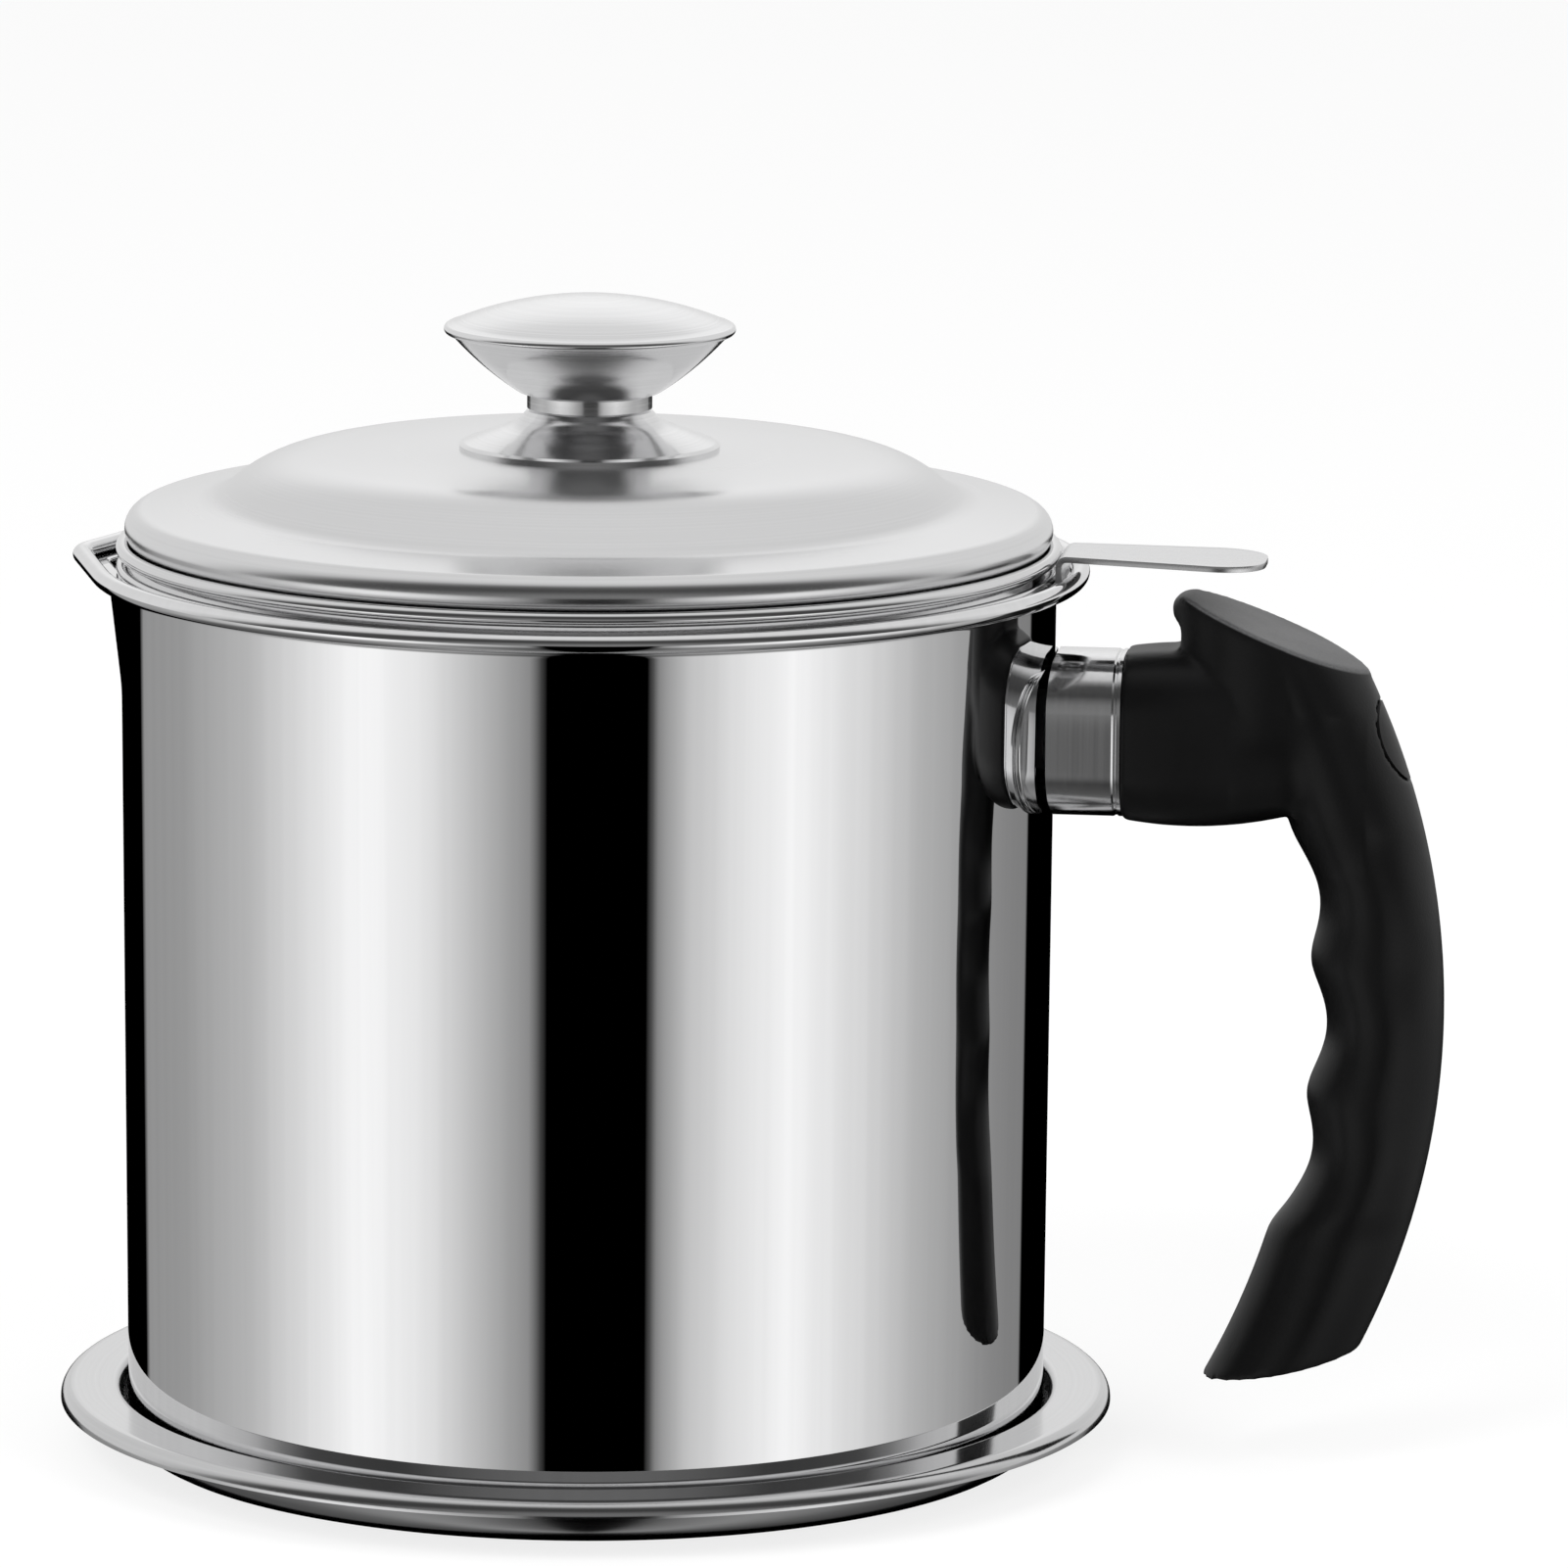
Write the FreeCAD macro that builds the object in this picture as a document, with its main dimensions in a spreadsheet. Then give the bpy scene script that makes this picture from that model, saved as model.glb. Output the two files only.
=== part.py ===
import FreeCAD, Part
import math
import os
import re

import Sketcher

# Grease strainer pot with a loose tray, a drop-in strainer and a domed lid.
# +Z is up, +X runs from the pot's axis to the handle, and the spout points along -X.
# The origin is the centre of the tray's underside. Lengths are in millimetres, angles in degrees.

SIZES = {
    # tray
    "tray_sheet": 0.7,
    "tray_clearance": 1.2,
    "tray_corner_margin": 0.6,
    "tray_depth": 8.3,
    "tray_lip": 1.2,
    "tray_flange_width": 9.1,
    "tray_edge_roll": 2.1,
    "tray_edge_drop": 0.3,
    # pot
    "pot_sheet": 0.6,
    "pot_foot_radius": 69.7,
    "pot_mouth_radius": 70.4,
    "pot_height": 132.7,
    "pot_corner": 4.4,
    "pot_foot_ring": 3.3,
    "pot_floor_rise": 0.8,
    "pot_floor_step": 2.0,
    "pot_ledge_bend": 1.2,
    "pot_mouth_round": 0.6,
    "ledge_width": 3.6,
    "rim_bead": 1.4,
    "rim_curl_end": 200.0,
    "rim_overlap": 0.5,
    "spout_angle": 18.0,
    "spout_start_angle": 2.0,
    "spout_flare": 0.55,
    "spout_tip": 8.0,
    "spout_depth": 29.4,
    "spout_blend": 0.15,
    "spout_inset": 4.0,
    # strainer
    "strainer_sheet": 0.5,
    "strainer_clearance": 0.35,
    "strainer_bead": 1.1,
    "strainer_curl_end": 250.0,
    "strainer_rise": 3.8,
    "stop_bead": 0.8,
    "stop_gap": 0.1,
    "bowl_depth": 22.3,
    "bowl_corner": 18.8,
    "screen_margin": 3.15,
    "screen_seat": 5.5,
    "screen_sheet": 0.5,
    "screen_hole_radius": 0.5,
    "screen_pitch": 2.4,
    "screen_border": 3.0,
    # thumb tab of the strainer
    "tab_sheet": 0.9,
    "tab_lift": 0.8,
    "tab_length": 31.1,
    "tab_root_width": 14.0,
    "tab_end_width": 20.0,
    "tab_corner": 8.0,
    "tab_slope": 1.4,
    "tab_leg_bottom": 0.6,
    "tab_leg_thickness": 0.85,
    "tab_bend": 1.0,
    "tab_root_length": 2.0,
    "weld_sink": 0.05,
    # lid
    "lid_sheet": 0.6,
    "lid_edge_inset": 3.25,
    "lid_edge_round": 3.0,
    "lid_hem": 2.3,
    "lid_seat_gap": 0.3,
    "lid_shoulder_width": 10.8,
    "lid_brow_width": 14.0,
    "lid_brow_radius": 20.0,
    "lid_crown_tilt": 3.2,
    "lid_crown_margin": 0.4,
    "lid_crown_rise": 11.9,
    # knob
    "knob_sheet": 0.8,
    "knob_base_edge": 0.6,
    "knob_base_bevel": 0.4,
    "knob_base_height": 5.8,
    "knob_skirt_width": 6.2,
    "knob_skirt_height": 3.1,
    "knob_flare": 7.5,
    "knob_flare_width": 4.0,
    "knob_neck_radius": 9.4,
    "knob_neck_height": 2.8,
    "knob_neck_chamfer": 0.4,
    "knob_cone_floor_width": 1.2,
    "knob_cone_flare": 10.3,
    "knob_cone_height": 8.8,
    "knob_cone_bulge": 49.0,
    "knob_cap_overhang": 1.0,
    "knob_cap_lip": 0.7,
    "knob_cap_seat": 0.9,
    "knob_cap_rise": 4.3,
    # screws and washers, M5
    "screw_radius": 2.5,
    "screw_clearance": 0.25,
    "screw_tip": 0.5,
    "screw_head_radius": 4.75,
    "screw_head_height": 3.3,
    "screw_recess_length": 2.3,
    "screw_recess_width": 1.0,
    "screw_recess_depth": 1.8,
    "washer_radius": 6.0,
    "washer_sheet": 1.0,
    "lock_washer_radius": 4.6,
    "lock_washer_sheet": 1.3,
    "lock_washer_gap": 1.2,
    "knob_insert_radius": 5.0,
    "knob_insert_height": 6.0,
    # handle
    "arm_drop": 22.4,
    "saddle_sheet": 0.8,
    "saddle_width": 44.0,
    "saddle_height": 21.0,
    "saddle_corner": 9.5,
    "ferrule_sheet": 0.8,
    "ferrule_length": 11.1,
    "ferrule_width": 21.6,
    "ferrule_height": 24.4,
    "ferrule_corner": 8.0,
    "stud_radius": 6.0,
    "stud_gap": 0.6,
    "stud_engagement": 6.1,
    "arm_overhang": 0.4,
    "elbow_length": 23.5,
    "elbow_width": 24.0,
    "elbow_height": 26.4,
    "spine_length": 48.4,
    "spine_radius": 116.8,
    "spine_drop": 41.8,
    "bar_rise": 15.8,
    "grip_depth": 20.2,
    "grip_width": 23.0,
    "finger_depth": 2.7,
    "finger_roundness": 1.3,
    "finger_pitch": 20.0,
    "finger_top": 13.5,
    "tail_depth": 21.2,
    "tail_width": 22.0,
    "tail_clearance": 16.9,
    "tail_angle": 12.0,
    "nose_setback": 8.9,
    "nose_rise": 19.1,
    "nose_radius": 2.3,
    "nose_undercut": 0.6,
    "nose_neck": 2.0,
    "thumb_angle": 22.0,
    "thumb_length": 30.0,
    "thumb_width": 24.4,
    "screw_seat_length": 30.0,
    "screw_recess_clearance": 0.45,
    "plug_radius": 5.9,
    "plug_clearance": 0.05,
    "plug_gap": 0.3,
    # how far a cutting shape stands past what it cuts
    "cut_margin": 1.0,
}

UP = FreeCAD.Vector(0, 0, 1)
document = FreeCAD.newDocument("grease_pot")
sheet = document.addObject("Spreadsheet::Sheet", "Sizes")
parts = []


def fill_sheet():
    """Write every driving size into the spreadsheet, its name as the cell's alias."""
    for row, (alias, size) in enumerate(SIZES.items(), start=1):
        sheet.set(f"A{row}", alias)
        sheet.set(f"B{row}", str(size))
        sheet.setAlias(f"B{row}", alias)
    document.recompute()


def cells(formula):
    """Turn the size names in a formula into references to the sheet's cells."""
    return re.sub(r"[a-z]+(?:_[a-z]+)+", lambda name: "Sizes." + name.group(0), formula)


def number(formula):
    """Work out a formula of size names."""
    return float(sheet.evalExpression(cells(formula)))


# ---------------------------------------------------------------- sketches and features


def new_body(label, rise="0", reach="0", turn=None):
    """Start a sub-part whose own origin stands at a given height and reach in the frame."""
    body = document.addObject("PartDesign::Body", label)
    body.Label = label
    if turn is not None:
        body.Placement = FreeCAD.Placement(FreeCAD.Vector(), turn)
    body.setExpression("Placement.Base.x", cells(reach))
    body.setExpression("Placement.Base.z", cells(rise))
    parts.append(body)
    return body


def new_sketch(body, name, plane="XZ_Plane", offset="0"):
    """Put an empty sketch on one of the body's origin planes, moved along the plane's normal."""
    support = next(item for item in body.Origin.OriginFeatures if item.Role == plane)
    sketch = body.newObject("Sketcher::SketchObject", name)
    sketch.AttachmentSupport = [(support, "")]
    sketch.MapMode = "FlatFace"
    sketch.setExpression("AttachmentOffset.Base.z", cells(offset))
    return sketch


def bound(sketch, kind, geometry, size):
    """Add a dimension to a sketch and bind it to a formula."""
    index = sketch.addConstraint(Sketcher.Constraint(kind, *geometry, number(size)))
    sketch.setExpression(f"Constraints[{index}]", cells(size))


def arc_between(start, end, radius, turn):
    """Give the arc from start to end that turns left or right, and which of its ends come first."""
    chord = end - start
    side = 1 if turn == "left" else -1
    height = math.sqrt(max(radius**2 - chord.Length**2 / 4, 0))
    across = FreeCAD.Vector(-chord.y, chord.x, 0).normalize()
    centre = (start + end) * 0.5 + across * side * height
    first, last = (start, end) if turn == "left" else (end, start)
    angles = [math.atan2(point.y - centre.y, point.x - centre.x) for point in (first, last)]
    arc = Part.ArcOfCircle(Part.Circle(centre, UP, radius), *angles)
    return (arc, 1, 2) if turn == "left" else (arc, 2, 1)


def draw_outline(sketch, steps):
    """Draw a closed outline.

    Each step gives the next corner and how it is reached: (x, y) by a straight line, or
    (x, y, radius, turn) by an arc. The first step also closes the outline.
    """
    corners = [FreeCAD.Vector(number(step[0]), number(step[1]), 0) for step in steps]
    edges = []
    for index, step in enumerate(steps):
        start, end = corners[index - 1], corners[index]
        if len(step) == 2:
            curve, first, last = Part.LineSegment(start, end), 1, 2
        else:
            curve, first, last = arc_between(start, end, number(step[2]), step[3])
        edges.append((sketch.addGeometry(curve, False), first, last))
    for index, (edge, first, last) in enumerate(edges):
        following, following_first, _ = edges[(index + 1) % len(edges)]
        sketch.addConstraint(Sketcher.Constraint("Coincident", edge, last, following, following_first))
        bound(sketch, "DistanceX", (-1, 1, edge, last), steps[index][0])
        bound(sketch, "DistanceY", (-1, 1, edge, last), steps[index][1])
        if len(steps[index]) > 2:
            bound(sketch, "Radius", (edge,), steps[index][2])


def draw_circle(sketch, radius):
    """Draw a circle about the sketch's origin."""
    circle = sketch.addGeometry(Part.Circle(FreeCAD.Vector(), UP, number(radius)), False)
    sketch.addConstraint(Sketcher.Constraint("Coincident", circle, 3, -1, 1))
    bound(sketch, "Radius", (circle,), radius)


def rounded_rectangle(width, height, corner):
    """Outline of a rectangle about the origin with round corners, for draw_outline."""
    half = f"({width})/2"
    rise = f"({height})/2"
    return [
        (f"{half}", f"-({rise}-{corner})", corner, "left"),
        (f"{half}", f"{rise}-{corner}"),
        (f"{half}-{corner}", rise, corner, "left"),
        (f"-({half}-{corner})", rise),
        (f"-{half}", f"{rise}-{corner}", corner, "left"),
        (f"-{half}", f"-({rise}-{corner})"),
        (f"-({half}-{corner})", f"-{rise}", corner, "left"),
        (f"{half}-{corner}", f"-{rise}"),
    ]


def revolve(body, name, steps, kind="Revolution", sweep="360"):
    """Turn an outline of (radius, height) steps about the body's Z axis, by 360 degrees or less."""
    sketch = new_sketch(body, name + "_profile")
    draw_outline(sketch, steps)
    before = removed_from(body, kind)
    feature = body.newObject("PartDesign::" + kind, name)
    feature.Profile = sketch
    feature.ReferenceAxis = (sketch, ["V_Axis"])
    feature.Midplane = number(sweep) < 360
    feature.setExpression("Angle", cells(sweep))
    check_cut(body, before)


def pad(body, name, sketch, length, midplane=False):
    """Push a sketch out by a length."""
    feature = body.newObject("PartDesign::Pad", name)
    feature.Profile = sketch
    feature.Midplane = midplane
    feature.setExpression("Length", cells(length))
    document.recompute()


def pocket(body, name, sketch, depth=None, backwards=False):
    """Cut a sketch into the body, to a depth or right through, and make sure that it cuts."""
    before = removed_from(body, "Pocket")
    feature = body.newObject("PartDesign::Pocket", name)
    feature.Profile = sketch
    feature.Reversed = backwards
    if depth is None:
        feature.Type = "ThroughAll"
    else:
        feature.setExpression("Length", cells(depth))
    check_cut(body, before)


def removed_from(body, kind):
    """Volume that a cutting feature starts from, or None for one that adds."""
    if kind not in ("Pocket", "Groove"):
        return None
    document.recompute()
    return body.Shape.Volume


def check_cut(body, before):
    """Stop if a cutting feature left the volume as it was."""
    document.recompute()
    if before is not None and body.Shape.Volume > before - 0.001:
        raise RuntimeError(f"{body.Label}: {body.Tip.Name} cuts nothing")


def ring(label, radius, hole, height, rise, reach="0", turn=None):
    """Make a flat ring or a short tube."""
    body = new_body(label, rise, reach, turn)
    sketch = new_sketch(body, label + "_rings", "XY_Plane")
    draw_circle(sketch, radius)
    draw_circle(sketch, hole)
    pad(body, label + "_plate", sketch, height)
    return body


# ---------------------------------------------------------------- heights and radii that follow

POT_FOOT = "tray_sheet"
LEDGE_TOP = f"{POT_FOOT}+pot_height"
LEDGE_UNDER = "pot_height-pot_sheet"
ARM_HEIGHT = "(pot_height-arm_drop)"
ARM_AXIS = f"{POT_FOOT}+{ARM_HEIGHT}"
GRIP_START = "(pot_mouth_radius+ferrule_length)"
SCREW_SEAT = f"({GRIP_START}+screw_seat_length)"
SCREW_HOLE = "(screw_radius+screw_clearance)"
PLUG_SEAT = f"({SCREW_SEAT}+lock_washer_sheet+screw_head_height+plug_gap)"
RIM_RADIUS = "(pot_mouth_radius+ledge_width)"
BEAD_CENTRE = f"{LEDGE_UNDER}+rim_bead"
STRAINER_WALL = "pot_mouth_radius-pot_sheet-strainer_clearance"
STRAINER_BEAD_RADIUS = f"({STRAINER_WALL}-strainer_sheet+strainer_bead)"
SCREEN_RADIUS = f"({STRAINER_WALL}-bowl_corner-screen_margin)"
SCREEN_RING = f"({SCREEN_RADIUS}-screen_seat)"
LID_EDGE_RADIUS = f"({STRAINER_BEAD_RADIUS}-lid_edge_inset)"
LID_SEAT = "sqrt((lid_edge_round+strainer_bead+lid_seat_gap)^2-lid_edge_inset^2)"
LID_EDGE = f"{LEDGE_TOP}+strainer_rise+{LID_SEAT}"
CROWN = f"{LID_EDGE}+lid_crown_rise"
LID_UNDERSIDE = f"{CROWN}-lid_sheet"
KNOB_SKIRT = "(knob_neck_radius+knob_flare_width)"
KNOB_BASE = f"({KNOB_SKIRT}+knob_skirt_width)"
KNOB_CONE = "(knob_neck_radius+knob_cone_floor_width)"
KNOB_CONE_TOP = f"({KNOB_CONE}+knob_cone_flare)"
KNOB_CAP = f"({KNOB_CONE_TOP}+knob_cap_overhang)"
CONE_FLOOR = "knob_base_height+knob_neck_height"
CONE_SLOPE = "(knob_cone_flare/knob_cone_height)"


def wall_radius(height):
    """Outer radius of the pot's slightly tapered wall at a height above the pot's foot."""
    share = f"(({height})-pot_corner)/({LEDGE_UNDER}-pot_ledge_bend-pot_corner)"
    return f"(pot_foot_radius+(pot_mouth_radius-pot_foot_radius)*{share})"


# ---------------------------------------------------------------- tray


def make_tray():
    """Recessed pan with a wide flange whose edge is rolled down."""
    wall = "(pot_foot_radius+tray_clearance)"
    top = "(tray_sheet+tray_depth)"
    edge = f"({wall}+tray_flange_width)"
    corner = "(pot_corner+tray_corner_margin)"
    edge_bottom = f"{top}-tray_edge_roll-tray_edge_drop"
    body = new_body("tray")
    revolve(body, "tray_shell", [
        ("0", "tray_sheet"),
        ("0", "0"),
        (f"{wall}-{corner}", "0"),
        (f"{wall}+tray_sheet", f"{corner}+tray_sheet", f"{corner}+tray_sheet", "left"),
        (f"{wall}+tray_sheet", f"{top}-tray_lip"),
        (f"{wall}+tray_lip", f"{top}-tray_sheet", "tray_lip-tray_sheet", "right"),
        (f"{edge}-tray_edge_roll", f"{top}-tray_sheet"),
        (f"{edge}-tray_sheet", f"{top}-tray_edge_roll", "tray_edge_roll-tray_sheet", "right"),
        (f"{edge}-tray_sheet", edge_bottom),
        (edge, edge_bottom),
        (edge, f"{top}-tray_edge_roll"),
        (f"{edge}-tray_edge_roll", top, "tray_edge_roll", "left"),
        (f"{wall}+tray_lip", top),
        (wall, f"{top}-tray_lip", "tray_lip", "left"),
        (wall, f"{corner}+tray_sheet"),
        (f"{wall}-{corner}", "tray_sheet", corner, "right"),
    ])


# ---------------------------------------------------------------- pot


def rim_outline(radius, tip):
    """Plan outline of the rim: a circle that runs out along two tangents to the spout's round tip."""
    centre = f"({radius}-{tip})/cos(spout_angle)"
    tip_x = f"-({centre}+{tip}*cos(spout_angle))"
    side_x = f"-({radius})*cos(spout_angle)"
    side_y = f"({radius})*sin(spout_angle)"
    tip_y = f"{tip}*sin(spout_angle)"
    return [
        (f"{radius}", "0", f"{radius}", "left"),
        (side_x, side_y, f"{radius}", "left"),
        (tip_x, tip_y),
        (tip_x, f"-{tip_y}", tip, "left"),
        (side_x, f"-{side_y}"),
    ]


def spout_section(body, name, height, skin):
    """Section of the spout: a round-nosed wedge that runs back inside the wall.

    skin is how far the section lies inside the pot's outer surface.
    """
    start = "(pot_height-spout_depth)"
    share = f"(({height})-{start})/spout_depth"
    angle = f"(spout_start_angle+(spout_angle-spout_start_angle)*({share})^spout_flare)"
    line = f"({wall_radius(height)}-spout_blend-{skin})"
    tip = f"(spout_tip-{RIM_RADIUS}+{wall_radius(height)}-{skin})"
    tip_x = f"-(({line}-{tip})/cos({angle})+{tip}*cos({angle}))"
    tip_y = f"{tip}*sin({angle})"
    side_x = f"-{line}*cos({angle})"
    side_y = f"{line}*sin({angle})"
    back_x = f"-({line}-spout_inset)*cos({angle})"
    back_y = f"({line}-spout_inset)*sin({angle})"
    sketch = new_sketch(body, name, "XY_Plane", height)
    draw_outline(sketch, [
        (side_x, side_y),
        (tip_x, tip_y),
        (tip_x, f"-{tip_y}", tip, "left"),
        (side_x, f"-{side_y}"),
        (back_x, f"-{back_y}"),
        (back_x, back_y),
    ])
    return sketch


def spout_loft(body, name, kind, top, skin):
    """Loft the spout's sections from where it leaves the wall up to a height."""
    start = "(pot_height-spout_depth)"
    last = 4
    sections = []
    for index in range(last + 1):
        height = f"({start}+({top}-{start})*{index}/{last})"
        sections.append(spout_section(body, f"{name}_{index}", height, skin))
    feature = body.newObject("PartDesign::" + kind, name)
    feature.Profile = sections[0]
    feature.Sections = sections[1:]
    document.recompute()


def make_pot_body():
    """Drawn shell with a flat ledge, a curled rim bead and a pouring spout."""
    ring_out = "(pot_foot_radius-pot_corner)"
    ring_in = f"({ring_out}-pot_foot_ring)"
    body = new_body("pot_body", POT_FOOT)
    revolve(body, "pot_outside", [
        ("0", LEDGE_UNDER),
        ("0", "pot_floor_rise"),
        (f"{ring_in}-pot_floor_step", "pot_floor_rise"),
        (ring_in, "0"),
        (ring_out, "0"),
        ("pot_foot_radius", "pot_corner", "pot_corner", "left"),
        ("pot_mouth_radius", f"{LEDGE_UNDER}-pot_ledge_bend"),
        ("pot_mouth_radius+pot_ledge_bend", LEDGE_UNDER, "pot_ledge_bend", "right"),
    ])
    plate = new_sketch(body, "ledge_outline", "XY_Plane", LEDGE_UNDER)
    draw_outline(plate, rim_outline(f"({RIM_RADIUS}-rim_overlap)", "(spout_tip-rim_overlap)"))
    pad(body, "ledge", plate, "pot_sheet")
    spout_loft(body, "spout_outside", "AdditiveLoft", f"{LEDGE_UNDER}+pot_sheet/2", "0")
    revolve(body, "pot_inside", [
        ("0", "pot_height+cut_margin"),
        ("0", "pot_floor_rise+pot_sheet"),
        (f"{ring_in}-pot_floor_step", "pot_floor_rise+pot_sheet"),
        (ring_in, "pot_sheet"),
        (ring_out, "pot_sheet"),
        ("pot_foot_radius-pot_sheet", "pot_corner", "pot_corner-pot_sheet", "left"),
        ("pot_mouth_radius-pot_sheet", f"{LEDGE_UNDER}-pot_ledge_bend"),
        ("pot_mouth_radius-pot_sheet", "pot_height-pot_mouth_round"),
        ("pot_mouth_radius-pot_sheet+pot_mouth_round", "pot_height", "pot_mouth_round", "right"),
        ("pot_mouth_radius-pot_sheet+pot_mouth_round", "pot_height+cut_margin"),
    ], "Groove")
    before = body.Shape.Volume
    spout_loft(body, "spout_inside", "SubtractiveLoft", "pot_height+pot_mouth_round", "pot_sheet")
    check_cut(body, before)
    make_rim_bead(body)


def make_rim_bead(body):
    """Sweep the curled edge of the sheet round the rim and the spout's tip."""
    centre = RIM_RADIUS
    hollow = "(rim_bead-pot_sheet)"
    end_cos = "cos(rim_curl_end)"
    end_sin = "sin(rim_curl_end)"
    path = new_sketch(body, "rim_path", "XY_Plane", BEAD_CENTRE)
    draw_outline(path, rim_outline(RIM_RADIUS, "spout_tip"))
    curl = new_sketch(body, "rim_curl")
    draw_outline(curl, [
        (f"{centre}-rim_overlap*2", "pot_height"),
        (f"{centre}-rim_overlap*2", LEDGE_UNDER),
        (centre, LEDGE_UNDER),
        (f"{centre}+rim_bead", BEAD_CENTRE, "rim_bead", "left"),
        (centre, f"{BEAD_CENTRE}+rim_bead", "rim_bead", "left"),
        (f"{centre}-rim_bead", BEAD_CENTRE, "rim_bead", "left"),
        (f"{centre}+rim_bead*{end_cos}", f"{BEAD_CENTRE}+rim_bead*{end_sin}", "rim_bead", "left"),
        (f"{centre}+{hollow}*{end_cos}", f"{BEAD_CENTRE}+{hollow}*{end_sin}"),
        (f"{centre}-{hollow}", BEAD_CENTRE, hollow, "right"),
        (centre, f"{BEAD_CENTRE}+{hollow}", hollow, "right"),
        (f"{centre}+{hollow}", BEAD_CENTRE, hollow, "right"),
        (centre, "pot_height", hollow, "right"),
    ])
    bead = body.newObject("PartDesign::AdditivePipe", "rim_bead_sweep")
    bead.Profile = curl
    bead.Spine = path
    document.recompute()


# ---------------------------------------------------------------- strainer


def make_strainer_bowl():
    """Bowl with a curled rim, a swaged stop bead that sits on the ledge, and an open floor ring."""
    outer = f"({STRAINER_WALL})"
    inner = f"({outer}-strainer_sheet)"
    bead = STRAINER_BEAD_RADIUS
    hollow = "(strainer_bead-strainer_sheet)"
    stop = f"({bead}+strainer_bead-stop_bead)"
    stop_rise = "(stop_gap+stop_bead)"
    stop_hollow = "(stop_bead-strainer_sheet)"
    floor = "(0-bowl_depth)"
    end_cos = "cos(strainer_curl_end)"
    end_sin = "sin(strainer_curl_end)"
    body = new_body("strainer_bowl", LEDGE_TOP)
    revolve(body, "bowl_shell", [
        (SCREEN_RING, f"{floor}+strainer_sheet"),
        (SCREEN_RING, floor),
        (f"{outer}-bowl_corner", floor),
        (outer, f"{floor}+bowl_corner", "bowl_corner", "left"),
        (outer, f"{stop_rise}-stop_bead"),
        (stop, f"{stop_rise}-stop_bead"),
        (f"{stop}+stop_bead", stop_rise, "stop_bead", "left"),
        (stop, f"{stop_rise}+stop_bead", "stop_bead", "left"),
        (outer, f"{stop_rise}+stop_bead"),
        (outer, "strainer_rise"),
        (bead, f"strainer_rise+{hollow}", hollow, "right"),
        (f"{bead}+{hollow}", "strainer_rise", hollow, "right"),
        (bead, f"strainer_rise-{hollow}", hollow, "right"),
        (f"{bead}+{hollow}*{end_cos}", f"strainer_rise+{hollow}*{end_sin}", hollow, "right"),
        (f"{bead}+strainer_bead*{end_cos}", f"strainer_rise+strainer_bead*{end_sin}"),
        (bead, "strainer_rise-strainer_bead", "strainer_bead", "left"),
        (f"{bead}+strainer_bead", "strainer_rise", "strainer_bead", "left"),
        (bead, "strainer_rise+strainer_bead", "strainer_bead", "left"),
        (inner, "strainer_rise", "strainer_bead", "left"),
        (inner, f"{stop_rise}+{stop_hollow}"),
        (stop, f"{stop_rise}+{stop_hollow}"),
        (f"{stop}+{stop_hollow}", stop_rise, stop_hollow, "right"),
        (stop, f"{stop_rise}-{stop_hollow}", stop_hollow, "right"),
        (inner, f"{stop_rise}-{stop_hollow}"),
        (inner, f"{floor}+bowl_corner"),
        (f"{outer}-bowl_corner", f"{floor}+strainer_sheet", "bowl_corner-strainer_sheet", "right"),
    ])


def make_strainer_screen():
    """Flat disc on the floor ring, perforated in rings: ring k has 6 k holes one pitch further out."""
    pitch = number("screen_pitch")
    hole = number("screen_hole_radius")
    rings = int(number(f"({SCREEN_RING}-screen_border)/screen_pitch"))
    centres = [FreeCAD.Vector()]
    for count in range(1, rings + 1):
        for index in range(6 * count):
            angle = math.radians(60 * index / count)
            centres.append(FreeCAD.Vector(math.cos(angle), math.sin(angle), 0) * pitch * count)
    outline = Part.Wire(Part.makeCircle(number(SCREEN_RADIUS)))
    holes = [Part.Wire(Part.makeCircle(hole, centre, -UP)) for centre in centres]
    screen = document.addObject("Part::Feature", "strainer_screen")
    screen.Label = "strainer_screen"
    screen.Shape = Part.Face([outline] + holes).extrude(UP * number("screen_sheet"))
    screen.setExpression("Placement.Base.z", cells(f"{LEDGE_TOP}-bowl_depth+strainer_sheet"))
    parts.append(screen)


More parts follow.
